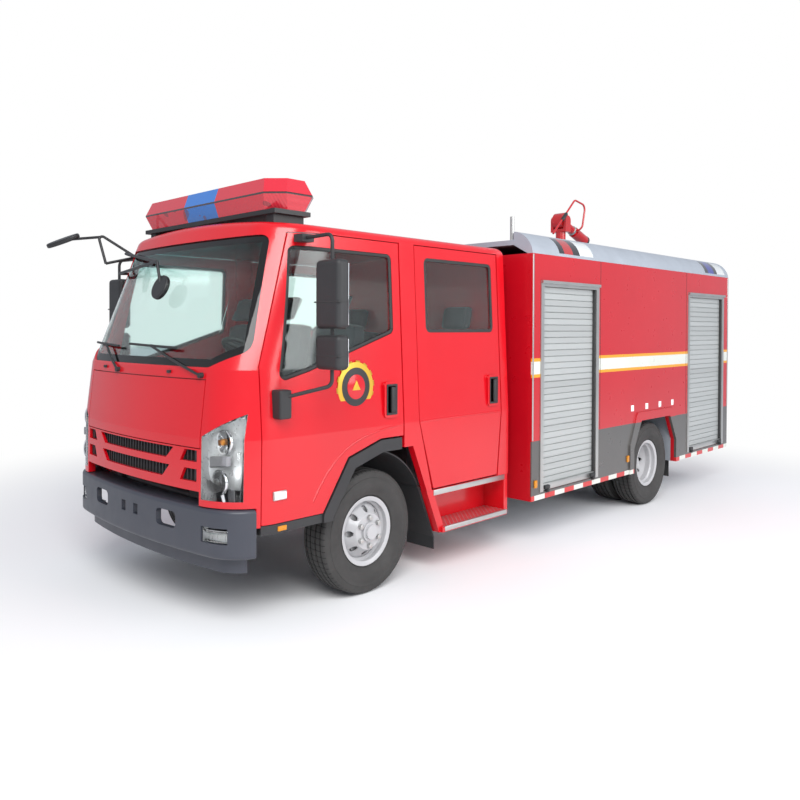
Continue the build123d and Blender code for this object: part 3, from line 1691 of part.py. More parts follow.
def make_monitor_turret():
    """Make the turning part: swivel collar, body and two cheeks that hold the barrel."""
    low = monitor_swivel_height + seat_gap
    body = cylinder_z(x_monitor, 0, monitor_swivel_radius, low, low + 2 * monitor_flange_height)
    gap = monitor_head_width / 2 + moving_gap
    reach = gap + monitor_cheek
    stem_top = monitor_pivot_height - monitor_head_radius - moving_gap
    body += block(x_monitor - monitor_pipe_radius, x_monitor + monitor_pipe_radius, -reach, reach,
                  stem_top - monitor_cheek, stem_top)
    body += cylinder_z(x_monitor, 0, monitor_pipe_radius, low, stem_top)
    for side in (1, -1):
        body += block(x_monitor - monitor_pipe_radius, x_monitor + monitor_pipe_radius,
                      side * gap, side * reach, stem_top - monitor_cheek, monitor_pivot_height)
        body += cylinder_y(x_monitor, monitor_pivot_height, monitor_pipe_radius,
                           side * gap, side * reach)
        body -= cylinder_y(x_monitor, monitor_pivot_height, lever_radius * 2 + seat_gap,
                           side * (gap - moving_gap), side * (reach + moving_gap))
    return body


def make_monitor_barrel():
    """Make the tilting part: pivot head, barrel, nozzle and the curved hand lever."""
    half = monitor_head_width / 2
    z = monitor_pivot_height
    head = cylinder_y(x_monitor, z, monitor_head_radius, -half, half)
    trunnion = half + moving_gap + monitor_cheek
    head += cylinder_y(x_monitor, z, 2 * lever_radius, -trunnion, trunnion)
    direction = Vector(-cos(monitor_rest_angle), 0, sin(monitor_rest_angle))
    centre = Vector(x_monitor, 0, z)
    barrel_end = centre + direction * (monitor_head_radius + monitor_barrel_length)
    nozzle_end = barrel_end + direction * nozzle_length
    head += rod(tuple(centre), tuple(barrel_end), monitor_barrel_radius)
    head += rod(tuple(barrel_end - direction * nozzle_length / 2), tuple(nozzle_end), nozzle_radius)
    foot = centre + direction * (monitor_barrel_length - lever_bend / 2)
    lever = [
        (x_monitor + 350, lever_side, z - 176),
        (x_monitor - 88, lever_side, z + 225),
        (x_monitor - 316, lever_side, z + 190),
        (foot.X, lever_side, foot.Z),
        (foot.X, 0, foot.Z),
    ]
    return head + bent_tube(lever, lever_radius, lever_bend)


def make_posts():
    """Make the two short posts at the front of the roof."""
    x = behind(post_behind)
    return both_sides(cylinder_z(x, cornice_half - 3 * cornice_lip, post_radius,
                                 body_deck_top + seat_gap, body_deck_top + post_height))


def make_tail_lamps():
    """Make the two upright tail lamp clusters on the rear wall."""
    x = x_body_rear + rear_wall_recess - seat_gap
    lamp = block(x - tail_lamp_depth, x, tail_lamp_half - tail_lamp_width / 2,
                 tail_lamp_half + tail_lamp_width / 2, tail_lamp_low, tail_lamp_low + tail_lamp_height)
    return both_sides(fillet(lamp.edges().filter_by(Axis.X), tail_lamp_width / 5))


def make_rear_bar():
    """Make the rear under-run bar with its flat step, on two brackets from the rear wall."""
    back = x_rear
    front = x_body_rear + rear_wall_recess - seat_gap
    bar = block(back, front, -rear_bar_half, rear_bar_half, rear_bar_top - rear_bar_height / 4,
                rear_bar_top)
    bar += block(back, back + rear_bar_height / 4, -rear_bar_half, rear_bar_half,
                 rear_bar_top - rear_bar_height, rear_bar_top)
    return bar


def make_ladder():
    """Make the fixed ladder at the back, from above the step to the roof."""
    x = x_body_rear - moving_gap - ladder_rail_radius
    top = cornice_top
    wall_x = x_body_rear + rear_wall_recess - seat_gap
    ladder = None
    for side in (1, -1):
        y = ladder_centre + side * ladder_half_spacing
        rail = bent_tube(
            [
                (wall_x, y, ladder_low),
                (x, y, ladder_low),
                (x, y, top),
                (x_body_rear + 3 * rear_wall_recess, y, top),
                (x_body_rear + 3 * rear_wall_recess, y, body_deck_top + seat_gap),
            ],
            ladder_rail_radius,
            2 * ladder_rail_radius,
        )
        ladder = rail if ladder is None else ladder + rail
    spacing = (top - ladder_low) / (ladder_rungs + 1)
    for index in range(1, ladder_rungs + 1):
        z = ladder_low + index * spacing
        ladder += cylinder_y(x, z, ladder_rail_radius * 0.8, ladder_centre - ladder_half_spacing,
                             ladder_centre + ladder_half_spacing)
    return ladder


front_door = make_front_door()
rear_door = make_rear_door()
front_pane = make_pane(front_window_points(seat_gap))
rear_pane = make_pane(rear_window_points(seat_gap))
door_mirror = make_door_mirror()
front_rim = make_front_rim()
front_tyre = Pos(x_front_axle, 0, 0) * make_tyre(y_front_wheel)
rear_rims = make_rear_rims()
rear_tyres = [Pos(x_rear_axle, 0, 0) * make_tyre(y) for y in (y_rear_outer, y_rear_inner)]
knuckle = make_knuckle(True)
knuckle_unpinned = make_knuckle(False)
cornices, corner_lamps = make_cornices_and_lamps()
curtains, frames = make_shutters()

nodes = {
    "frame_rails": both_sides(make_rail()),
    "crossmembers": make_crossmembers(),
    "driveline": [make_engine(), make_propshaft()],
    "front_axle": [make_front_axle()],
    "rear_axle": [make_rear_axle()],
    "leaf_springs": make_springs(),
    "cab_shell": [make_cab_shell()],
    "cab_floor": [make_cab_floor()],
    "cab_steps": both_sides(make_cab_step()),
    "arch_liners": both_sides(make_arch_liner()),
    "bumper": [make_bumper()],
    "grille": [make_grille()],
    "front_lid": [make_front_lid()],
    "front_lamps": make_front_lamps(),
    "windscreen": [make_windscreen()],
    "wipers": [
        make_wiper(wiper_pivot_left, wiper_reach_left, wiper_blade_left),
        make_wiper(wiper_pivot_right, wiper_reach_right, wiper_blade_right),
    ],
    "dashboard": [make_dashboard()],
    "steering_wheel": [make_steering_wheel()],
    "front_seats": make_front_seats(),
    "rear_seat": [make_rear_seat()],
    "light_bar_base": [make_light_bar_base()],
    "light_bar_lens": [make_light_bar_lens()],
    "view_mirrors": [make_view_mirrors()],
    "door_front_left": [front_door],
    "door_front_right": [flip(front_door)],
    "door_rear_left": [rear_door],
    "door_rear_right": [flip(rear_door)],
    "window_front_left": [front_pane],
    "window_front_right": [flip(front_pane)],
    "window_rear_left": [rear_pane],
    "window_rear_right": [flip(rear_pane)],
    "mirrors_left": [door_mirror],
    "mirrors_right": [flip(door_mirror)],
    "knuckle_left": [knuckle],
    "knuckle_right": [flip(knuckle_unpinned)],
    "tie_rod": [make_tie_rod()],
    "tyre_front_left": [front_tyre],
    "tyre_front_right": [flip(front_tyre)],
    "rim_front_left": [front_rim],
    "rim_front_right": [flip(front_rim)],
    "tyres_rear_left": rear_tyres,
    "tyres_rear_right": [flip(tyre) for tyre in rear_tyres],
    "rims_rear_left": [rear_rims],
    "rims_rear_right": [flip(rear_rims)],
    "body_sides": both_sides(make_body_side()),
    "body_end_walls": [make_front_wall(), make_rear_wall()],
    "body_floor": [make_body_floor()],
    "locker_floors": both_sides(make_locker_floor()),
    "roof_deck": [make_roof_deck()],
    "cornices": cornices,
    "body_lamps": corner_lamps + make_tail_lamps(),
    "shutter_curtains": curtains,
    "shutter_frames": frames,
    "monitor_base": [make_monitor_base()],
    "monitor_turret": [make_monitor_turret()],
    "monitor_barrel": [make_monitor_barrel()],
    "rear_bar": [make_rear_bar()],
    "ladder_and_posts": [make_ladder(), *make_posts()],
    "mudflaps": both_sides(make_mudflap()),
}

os.makedirs("parts", exist_ok=True)
for name, solids in nodes.items():
    export_step(Compound(solids), f"parts/{name}.step")
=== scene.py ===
"""Looks of a light airport fire truck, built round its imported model."""

from __future__ import annotations

import json
import logging
from dataclasses import dataclass, field
from enum import Enum
from math import cos, pi, radians, sin, sqrt
from typing import Callable, Iterable

import bmesh
import bpy
from mathutils import Matrix, Vector

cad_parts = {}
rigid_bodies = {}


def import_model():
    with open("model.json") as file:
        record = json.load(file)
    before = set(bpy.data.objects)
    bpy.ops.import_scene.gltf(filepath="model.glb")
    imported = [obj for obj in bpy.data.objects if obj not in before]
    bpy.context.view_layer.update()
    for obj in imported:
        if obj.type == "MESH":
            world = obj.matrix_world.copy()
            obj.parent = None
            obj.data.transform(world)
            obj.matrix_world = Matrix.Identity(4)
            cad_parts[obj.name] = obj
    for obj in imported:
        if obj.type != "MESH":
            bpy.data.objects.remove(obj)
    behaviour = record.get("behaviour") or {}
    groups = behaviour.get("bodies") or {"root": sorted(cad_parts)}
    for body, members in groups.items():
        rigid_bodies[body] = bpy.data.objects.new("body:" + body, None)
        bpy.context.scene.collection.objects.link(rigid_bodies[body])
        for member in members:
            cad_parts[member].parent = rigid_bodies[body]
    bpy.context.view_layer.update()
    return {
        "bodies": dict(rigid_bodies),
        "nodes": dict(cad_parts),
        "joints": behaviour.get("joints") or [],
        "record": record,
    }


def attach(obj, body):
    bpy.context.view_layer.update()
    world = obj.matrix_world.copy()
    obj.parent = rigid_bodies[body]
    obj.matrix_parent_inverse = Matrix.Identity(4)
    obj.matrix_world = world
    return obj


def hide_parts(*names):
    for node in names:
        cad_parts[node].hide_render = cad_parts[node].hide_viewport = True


LOG = logging.getLogger("fire_truck")
FaceTest = Callable[[bmesh.types.BMFace], bool]
Colour = tuple[float, float, float]
Point = tuple[float, float, float]
Span = tuple[float, float]
Spans = tuple[Span, Span, Span]
Row = tuple[str, Span, Span, Span, float, "Finish"]
FRONT_AXLE = 2.270
REAR_AXLE = -1.545
AXLE_HEIGHT = 0.4025
BLACK = (0.0, 0.0, 0.0)


def ahead(distance: float) -> float:
    """Give the X of a point that lies a distance ahead of the front axle."""
    return FRONT_AXLE + distance


def about(middle: float, half: float) -> Span:
    """Give the span that reaches half a width to each side of a middle."""
    return middle - half, middle + half


class Axis(Enum):
    """The direction that a round piece lies along."""

    X = (0.0, pi / 2, 0.0)
    Y = (pi / 2, 0.0, 0.0)
    Z = (0.0, 0.0, 0.0)


class Nodes:
    """A short hand for laying out one material's nodes."""

    def __init__(self, name: str) -> None:
        """Start a material with its surface shader."""
        self.material = bpy.data.materials.new(name)
        self.material.use_nodes = True
        self.tree = self.material.node_tree
        self.shader = self.tree.nodes["Principled BSDF"]

    def add(self, kind: str, **values: object) -> bpy.types.Node:
        """Add a node and set its properties."""
        node = self.tree.nodes.new(kind)
        for key, value in values.items():
            setattr(node, key, value)
        return node

    def link(self, source: bpy.types.NodeSocket, target: bpy.types.NodeSocket) -> None:
        """Join two sockets."""
        self.tree.links.new(source, target)

    def place(self) -> bpy.types.NodeSocket:
        """Give the point's place on the object."""
        return self.add("ShaderNodeTexCoord").outputs["Object"]

    def axes(self) -> list[bpy.types.NodeSocket]:
        """Give the place split into X, Y and Z."""
        split = self.add("ShaderNodeSeparateXYZ")
        self.link(self.place(), split.inputs[0])
        return list(split.outputs)

    def sum(self, operation: str, first: object, second: object = 0.0) -> bpy.types.NodeSocket:
        """Work out one sum of two sockets or numbers."""
        node = self.add("ShaderNodeMath", operation=operation)
        for socket, value in zip(node.inputs, (first, second)):
            self.feed(socket, value)
        return node.outputs[0]

    def times(self, first: object, second: object) -> bpy.types.NodeSocket:
        """Multiply two sockets or numbers."""
        return self.sum("MULTIPLY", first, second)

    def wave(self, value: object, rate: float) -> bpy.types.NodeSocket:
        """Give a sine wave along a value."""
        return self.sum("SINE", self.times(value, rate))

    def between(self, value: bpy.types.NodeSocket, low: float,
                high: float) -> bpy.types.NodeSocket:
        """Give 1 where a value lies between two limits."""
        above = self.sum("GREATER_THAN", value, low)
        below = self.sum("LESS_THAN", value, high)
        return self.sum("MULTIPLY", above, below)

    def noise(self, scale: float, detail: float,
              stretch: Point = (1, 1, 1)) -> bpy.types.NodeSocket:
        """Give a noise value over the object."""
        mapping = self.add("ShaderNodeMapping")
        mapping.inputs["Scale"].default_value = stretch
        self.link(self.place(), mapping.inputs["Vector"])
        texture = self.add("ShaderNodeTexNoise")
        texture.inputs["Scale"].default_value = scale
        texture.inputs["Detail"].default_value = detail
        self.link(mapping.outputs[0], texture.inputs["Vector"])
        return texture.outputs["Fac"]

    def feed(self, socket: bpy.types.NodeSocket, value: object) -> None:
        """Set an input to a number or a colour, or link another socket to it."""
        if isinstance(value, bpy.types.NodeSocket):
            self.link(value, socket)
        elif isinstance(value, tuple):
            socket.default_value = (*value, 1.0)
        else:
            socket.default_value = value

    def mix(self, share: object, first: object, second: object) -> bpy.types.NodeSocket:
        """Blend two colours by a share."""
        node = self.add("ShaderNodeMix", data_type="RGBA")
        for index, value in ((0, share), (6, first), (7, second)):
            self.feed(node.inputs[index], value)
        return node.outputs[2]

    def spread(self, value: bpy.types.NodeSocket, low: float,
               high: float) -> bpy.types.NodeSocket:
        """Map a 0 to 1 value onto a range."""
        node = self.add("ShaderNodeMapRange")
        node.inputs["To Min"].default_value = low
        node.inputs["To Max"].default_value = high
        self.link(value, node.inputs["Value"])
        return node.outputs[0]

    def bump(self, height: bpy.types.NodeSocket, strength: float, distance: float) -> None:
        """Raise the surface by a height."""
        node = self.add("ShaderNodeBump")
        node.inputs["Strength"].default_value = strength
        node.inputs["Distance"].default_value = distance
        self.link(height, node.inputs["Height"])
        self.link(node.outputs[0], self.shader.inputs["Normal"])

    def put(self, name: str, value: object) -> None:
        """Set or link one of the surface shader's inputs."""
        self.feed(self.shader.inputs[name], value)


@dataclass(frozen=True)
class Surface:
    """A finish that is laid out in nodes."""

    name: str
    colour: Colour

    def lay(self, nodes: Nodes) -> None:
        """Lay out the nodes of the finish."""
        raise NotImplementedError

    def tint(self, factor: float, lift: float = 0.0) -> Colour:
        """Give a lighter or darker tone of the colour."""
        return tuple(min(1.0, value * factor + lift) for value in self.colour)

    def make(self) -> bpy.types.Material:
        """Build the material."""
        nodes = Nodes(self.name)
        self.lay(nodes)
        return nodes.material


@dataclass(frozen=True)
class Paint(Surface):
    """Sprayed paint with a slight ripple, dust and small changes of tone."""

    roughness: float = 0.22
    coat: float = 0.6
    dust: float = 0.10
    shade: float = 0.14
    dust_colour: Colour = (0.42, 0.38, 0.34)

    def base(self, nodes: Nodes) -> object:
        """Give the paint's colour before its dust."""
        return self.colour

    def lay(self, nodes: Nodes) -> None:
        """Lay out the nodes."""
        tone = nodes.noise(1.7, 2.0)
        base = self.base(nodes)
        shaded = nodes.mix(tone, nodes.mix(self.shade, base, BLACK), base)
        height = nodes.spread(nodes.axes()[2], 1.0, 0.0)
        dusty = nodes.times(nodes.times(height, nodes.noise(6.0, 6.0)), self.dust)
        nodes.put("Base Color", nodes.mix(dusty, shaded, self.dust_colour))
        smooth, rough = self.roughness * 0.8, self.roughness * 1.3
        nodes.put("Roughness", nodes.spread(nodes.noise(9.0, 5.0), smooth, rough))
        nodes.put("Coat Weight", self.coat)
        nodes.put("Coat Roughness", 0.05)
        nodes.bump(nodes.noise(2.2, 2.0), 0.12, 0.004)


@dataclass(frozen=True)
class BodyPaint(Paint):
    """The body's red paint with its grey skirt, its stripe and the tape along the bottom edge."""

    skirt: Colour = (0.09, 0.085, 0.08)
    yellow: Colour = (0.86, 0.37, 0.01)
    white: Colour = (0.75, 0.77, 0.70)
    skirt_top: float = 0.840
    tape_top: float = 0.412
    stripe: tuple[float, float, float, float] = (1.3365, 1.362, 1.461, 1.4868)
    outside: float = 1.1
    tape_red: Colour = (0.62, 0.02, 0.02)
    tape_rate: float = 3.3

    def base(self, nodes: Nodes) -> bpy.types.NodeSocket:
        """Give the bands of colour by their height on the sides."""
        x, y, z = nodes.axes()
        outside = nodes.sum("GREATER_THAN", nodes.sum("ABSOLUTE", y), self.outside)
        low, first, second, high = self.stripe
        colour = nodes.mix(nodes.between(z, 0.0, self.skirt_top), self.colour, self.skirt)
        colour = nodes.mix(nodes.between(z, low, high), colour, self.yellow)
        colour = nodes.mix(nodes.between(z, first, second), colour, self.white)
        step = nodes.sum("FRACT", nodes.times(x, self.tape_rate))
        squares = nodes.mix(nodes.sum("GREATER_THAN", step, 0.5), self.tape_red, self.white)
        colour = nodes.mix(nodes.between(z, 0.0, self.tape_top), colour, squares)
        return nodes.mix(outside, self.colour, colour)


@dataclass(frozen=True)
class Moulded(Surface):
    """Moulded plastic or rubber with a fine grain."""

    roughness: float = 0.5
    grain: float = 900.0
    depth: float = 0.15

    def lay(self, nodes: Nodes) -> None:
        """Lay out the nodes."""
        nodes.put("Base Color", nodes.mix(nodes.noise(3.0, 6.0), self.colour, self.tint(1.6, 0.01)))
        smooth, rough = self.roughness - 0.08, self.roughness + 0.12
        nodes.put("Roughness", nodes.spread(nodes.noise(14.0, 4.0), smooth, rough))
        nodes.bump(nodes.noise(self.grain, 1.0), self.depth, 0.0006)


@dataclass(frozen=True)
class Bare(Surface):
    """Bare or plated metal, brushed along one direction."""

    roughness: float = 0.35
    stretch: Point = (1.0, 1.0, 1.0)
    metallic: float = 0.9

    def lay(self, nodes: Nodes) -> None:
        """Lay out the nodes."""
        nodes.put("Base Color", nodes.mix(nodes.noise(5.0, 6.0), self.tint(0.78), self.colour))
        nodes.put("Metallic", self.metallic)
        brushed = nodes.noise(60.0, 4.0, self.stretch)
        nodes.put("Roughness", nodes.spread(brushed, self.roughness * 0.75, self.roughness * 1.35))
        nodes.bump(brushed, 0.06, 0.0005)


@dataclass(frozen=True)
class TreadPlate(Bare):
    """Painted chequer plate with raised bars in two directions."""

    rate: float = 150.0
    crest: float = 0.93
    worn: Colour = (0.42, 0.36, 0.36)

    def lay(self, nodes: Nodes) -> None:
        """Lay out the nodes."""
        x, y, _ = nodes.axes()
        first = nodes.wave(nodes.sum("ADD", x, y), self.rate)
        second = nodes.wave(nodes.sum("SUBTRACT", x, y), self.rate)
        bars = nodes.sum("MAXIMUM", first, second)
        share = nodes.sum("GREATER_THAN", bars, self.crest)
        nodes.put("Base Color", nodes.mix(share, self.colour, self.worn))
        nodes.put("Metallic", self.metallic)
        nodes.put("Roughness", nodes.spread(nodes.noise(20.0, 4.0), 0.3, 0.5))
        nodes.bump(bars, 0.5, 0.002)


@dataclass(frozen=True)
class Pane(Surface):
    """Clear or tinted glass with a faint film of dust."""

    roughness: float = 0.02
    see_through: float = 1.0
    ior: float = 1.45
    film: float = 0.03

    def base(self, nodes: Nodes) -> tuple[object, object]:
        """Give the glass colour and how much light it lets through."""
        return self.colour, self.see_through

    def lay(self, nodes: Nodes) -> None:
        """Lay out the nodes."""
        colour, through = self.base(nodes)
        nodes.put("Base Color", colour)
        nodes.put("Transmission Weight", through)
        dusty = self.roughness + self.film
        nodes.put("Roughness", nodes.spread(nodes.noise(4.0, 5.0), self.roughness, dusty))
        nodes.put("IOR", self.ior)


@dataclass(frozen=True)
class ScreenPane(Pane):
    """Windscreen glass with its black printed border and a green band along the top."""

    border: float = 0.045
    foot: float = 1.492
    middle: float = 1.65
    top: float = 2.272
    half: float = 0.892
    lean: float = 0.148
    corner_half: float = 0.7
    corner_slope: float = 2.06
    corner_cut: float = -0.11
    band: Span = (2.02, 2.20)
    band_colour: Colour = (0.16, 0.42, 0.40)
    print_colour: Colour = (0.01, 0.01, 0.01)

    def base(self, nodes: Nodes) -> tuple[object, object]:
        """Mask the border by its place across and up the screen."""
        _, side, z = nodes.axes()
        y = nodes.sum("ABSOLUTE", side)
        lean = nodes.times(nodes.sum("SUBTRACT", z, self.middle), self.lean)
        edge = nodes.sum("GREATER_THAN", nodes.sum("ADD", y, lean), self.half - self.border)
        rise = nodes.times(nodes.sum("SUBTRACT", z, self.foot), self.corner_slope)
        reach = nodes.sum("SUBTRACT", nodes.sum("SUBTRACT", y, self.corner_half), rise)
        corner = nodes.sum("GREATER_THAN", reach, self.corner_cut)
        low = nodes.sum("LESS_THAN", z, self.foot + self.border)
        high = nodes.sum("GREATER_THAN", z, self.top - self.border)
        mask = edge
        for other in (corner, low, high):
            mask = nodes.sum("MAXIMUM", mask, other)
        band = nodes.add("ShaderNodeMapRange")
        for limit, value in zip(("From Min", "From Max"), self.band):
            band.inputs[limit].default_value = value
        nodes.link(z, band.inputs["Value"])
        tint = nodes.mix(band.outputs[0], self.colour, self.band_colour)
        through = nodes.times(nodes.sum("SUBTRACT", 1.0, mask), self.see_through)
        return nodes.mix(mask, tint, self.print_colour), through


@dataclass(frozen=True)
class BarLens(Surface):
    """The light bar's red lens with its blue middle and ribs moulded across it."""

    blue: Colour = (0.01, 0.16, 0.55)
    blue_half: float = 0.181
    foot: float = 2.45
    seam: float = 2.535
    seam_half: float = 0.006
    seam_colour: Colour = (0.03, 0.01, 0.01)
    heads_from: float = 0.58
    heads_share: float = 0.6
    heads_colour: Colour = (0.10, 0.004, 0.008)
    rib_rate: float = 420.0

    def lay(self, nodes: Nodes) -> None:
        """Colour the lens by its place across, and show dim lamp heads under the seam."""
        _, y, z = nodes.axes()
        middle = nodes.sum("LESS_THAN", nodes.sum("ABSOLUTE", y), self.blue_half)
        colour = nodes.mix(middle, self.colour, self.blue)
        heads = nodes.sum("GREATER_THAN", nodes.noise(7.0, 1.0), self.heads_from)
        low = nodes.sum("LESS_THAN", z, self.seam)
        dim = nodes.times(nodes.times(heads, low), self.heads_share)
        colour = nodes.mix(dim, colour, self.heads_colour)
        line = nodes.between(z, self.seam - self.seam_half, self.seam + self.seam_half)
        nodes.put("Base Color", nodes.mix(line, colour, self.seam_colour))
        nodes.put("Roughness", 0.12)
        nodes.put("Coat Weight", 0.8)
        under_seam = nodes.between(z, self.foot, self.seam)
        nodes.bump(nodes.times(nodes.wave(y, self.rib_rate), under_seam), 0.25, 0.002)


@dataclass(frozen=True)
class CornerLamps(Surface):
    """The lamp units in the roof edge and on the back: coloured lamps in a black recess."""

    red: Colour = (0.45, 0.02, 0.02)
    clear: Colour = (0.72, 0.75, 0.74)
    blue: Colour = (0.02, 0.03, 0.28)
    amber: Colour = (0.80, 0.28, 0.02)
    rib_rate: float = 500.0

    def lay(self, nodes: Nodes) -> None:
        """Colour the lamps by their place along the truck, and the tail lamps by height."""
        x, _, z = nodes.axes()
        colour = self.colour
        for value, low, high, tint in (
            (x, 0.03, 0.17, self.red), (x, -0.32, -0.08, self.clear),
            (x, -3.02, -2.86, self.blue), (x, -3.34, -3.11, self.clear),
            (z, 0.50, 0.70, self.red), (z, 0.70, 0.79, self.amber), (z, 0.79, 0.90, self.clear),
        ):
            colour = nodes.mix(nodes.between(value, low, high), colour, tint)
        nodes.put("Base Color", colour)
        nodes.put("Roughness", 0.12)
        nodes.put("Coat Weight", 0.7)
        nodes.bump(nodes.wave(z, self.rib_rate), 0.15, 0.001)


@dataclass(frozen=True)
class Tread(Surface):
    """Tyre rubber with grooves across the tread, their bottoms coloured darker as painted shade."""

    axle: float = FRONT_AXLE
    lugs: int = 64
    skew: float = 9.0
    groove_from: float = -0.85
    tread_from: float = 0.386
    # painted shade: the colour of the groove bottoms, darker than the rubber itself
    groove_shade_colour: Colour = (0.006, 0.006, 0.006)

    def lay(self, nodes: Nodes) -> None:
        """Cut the grooves by the angle round the axle, outside the side walls, and paint shade into
        their bottoms.
        """
        along, y, up = nodes.axes()
        x = nodes.sum("SUBTRACT", along, self.axle)
        z = nodes.sum("SUBTRACT", up, AXLE_HEIGHT)
        radius = nodes.sum("SQRT", nodes.sum("ADD", nodes.times(x, x), nodes.times(z, z)))
        turn = nodes.times(nodes.sum("ARCTAN2", z, x), self.lugs)
        across = nodes.sum("SINE", nodes.sum("ADD", turn, nodes.times(y, self.skew)))
        grooves = nodes.sum("GREATER_THAN", across, self.groove_from)
        on_tread = nodes.sum("GREATER_THAN", radius, self.tread_from)
        nodes.bump(nodes.times(grooves, on_tread), 0.6, 0.003)
        dust = nodes.mix(nodes.noise(7.0, 6.0), self.colour, self.tint(2.6))
        # painted shade: the groove bottoms get a colour darker than the rubber
        dark = nodes.times(nodes.sum("SUBTRACT", 1.0, grooves), on_tread)
        nodes.put("Base Color", nodes.mix(dark, dust, self.groove_shade_colour))
        nodes.put("Roughness", nodes.spread(nodes.noise(30.0, 4.0), 0.55, 0.8))


@dataclass(frozen=True)
class Weave(Surface):
    """Woven seat cloth."""

    rate: float = 1800.0

    def lay(self, nodes: Nodes) -> None:
        """Cross two waves for the threads."""
        x, y, _ = nodes.axes()
        cloth = nodes.times(nodes.wave(x, self.rate), nodes.wave(y, self.rate))
        nodes.put("Base Color", nodes.mix(nodes.noise(8.0, 5.0), self.colour, self.tint(1.7)))
        nodes.put("Roughness", 0.85)
        nodes.put("Sheen Weight", 0.3)
        nodes.bump(cloth, 0.3, 0.0008)


@dataclass(frozen=True)
class Slats(Bare):
    """Anodised slats whose finish changes a little from one to the next."""

    rate: float = 20.0

    def lay(self, nodes: Nodes) -> None:
        """Shade each slat by a number drawn from its height."""
        slat = nodes.sum("FLOOR", nodes.times(nodes.axes()[2], self.rate))
        shade = nodes.sum("FRACT", nodes.times(nodes.wave(slat, 78.2), 43.7))
        nodes.put("Base Color", nodes.mix(shade, self.tint(0.86), self.colour))
        nodes.put("Metallic", self.metallic)
        nodes.put("Roughness", nodes.spread(nodes.noise(40.0, 4.0, (0.05, 1, 1)), 0.32, 0.5))
        nodes.bump(nodes.noise(90.0, 3.0, (0.02, 1, 1)), 0.04, 0.0004)


class Finish(Enum):
    """Every finish on the truck, by the record's slot or by the added piece that it dresses."""

    CAB_RED = Paint("cab_red", (0.68, 0.002, 0.010), coat=0.35, dust=0.03)
    BODY_RED = BodyPaint("body_red", (0.54, 0.003, 0.012), roughness=0.28, coat=0.3, dust=0.04)
    GREY = Paint("dark_grey_paint", (0.044, 0.049, 0.066), roughness=0.42, coat=0.15, dust=0.05)
    CHASSIS = Paint("chassis_black", (0.018, 0.018, 0.019), roughness=0.45, coat=0.1)
    SHUTTER = Slats("shutter_silver", (0.52, 0.54, 0.53), metallic=0.35)
    ALUMINIUM = Bare("body_aluminium", (0.56, 0.61, 0.67), 0.36, (0.05, 1, 1), 0.45)
    RIM = Paint("rim_silver", (0.52, 0.52, 0.53), roughness=0.32, coat=0.3)
    PLASTIC = Moulded("black_plastic", (0.016, 0.016, 0.017))
    TRIM = Moulded("cab_trim", (0.20, 0.20, 0.21), 0.6)
    CLOTH = Weave("seat_cloth", (0.05, 0.05, 0.06))
    GLASS = Pane("glazing", (0.80, 0.93, 0.90))
    SCREEN = ScreenPane("screen_glass", (0.84, 0.95, 0.93))
    CLEAR = Pane("lamp_clear", (0.96, 0.97, 0.97))
    BAR = BarLens("lamp_red", (0.58, 0.012, 0.030))
    CORNER = CornerLamps("roof_lamps", (0.012, 0.012, 0.014))
    MONITOR = Paint("monitor_red", (0.60, 0.008, 0.012), roughness=0.3)
    STEEL = Bare("bright_steel", (0.62, 0.62, 0.60), 0.3)
    TYRE_FRONT = Tread("tyre_rubber_front", (0.022, 0.021, 0.020), FRONT_AXLE)
    TYRE_REAR = Tread("tyre_rubber_rear", (0.022, 0.021, 0.020), REAR_AXLE)
    RUBBER = Moulded("rubber_black", (0.020, 0.020, 0.020), 0.7)
    MIRROR = Bare("mirror_face", (0.85, 0.88, 0.90), 0.03, metallic=1.0)
    CHROME = Bare("reflector_chrome", (0.86, 0.87, 0.88), 0.10, metallic=1.0)
    BOWL = Bare("lamp_bowl", (0.72, 0.74, 0.75), 0.28, metallic=0.35)
    AMBER = Pane("amber_lamp", (0.95, 0.36, 0.02), 0.08, 0.35)
    GOLD = Bare("emblem_gold", (0.83, 0.52, 0.05), 0.35, metallic=0.35)
    PLATE = TreadPlate("step_plate", (0.56, 0.02, 0.03), metallic=0.2)
    TAPE = Moulded("reflective_white", (0.80, 0.81, 0.80), 0.3, 300.0, 0.1)


STAND_INS: dict[Finish, str] = {
    Finish.MIRROR: "glazing", Finish.CHROME: "rim_silver", Finish.BOWL: "rim_silver",
    Finish.AMBER: "lamp_red", Finish.GOLD: "body_aluminium", Finish.PLATE: "cab_red",
    Finish.TAPE: "rim_silver", Finish.TYRE_FRONT: "tyre_rubber", Finish.TYRE_REAR: "tyre_rubber",
}


@dataclass(frozen=True)
class Slab:
    """A small rounded block on the truck's side, sized round a place on the surface."""

    half_width: float
    out: Span
    half_height: float
    round_off: float


class Paintbox:
    """Makes each finish once and hands it out."""

    def __init__(self) -> None:
        """Start with no finish made."""
        self._made: dict[Finish, bpy.types.Material] = {}

    def get(self, finish: Finish) -> bpy.types.Material:
        """Give the material of a finish."""
        if finish not in self._made:
            self._made[finish] = finish.value.make()
        return self._made[finish]

    def dress(self, piece: bpy.types.Object, finish: Finish) -> None:
        """Give a piece one finish all over."""
        piece.data.materials.clear()
        piece.data.materials.append(self.get(finish))


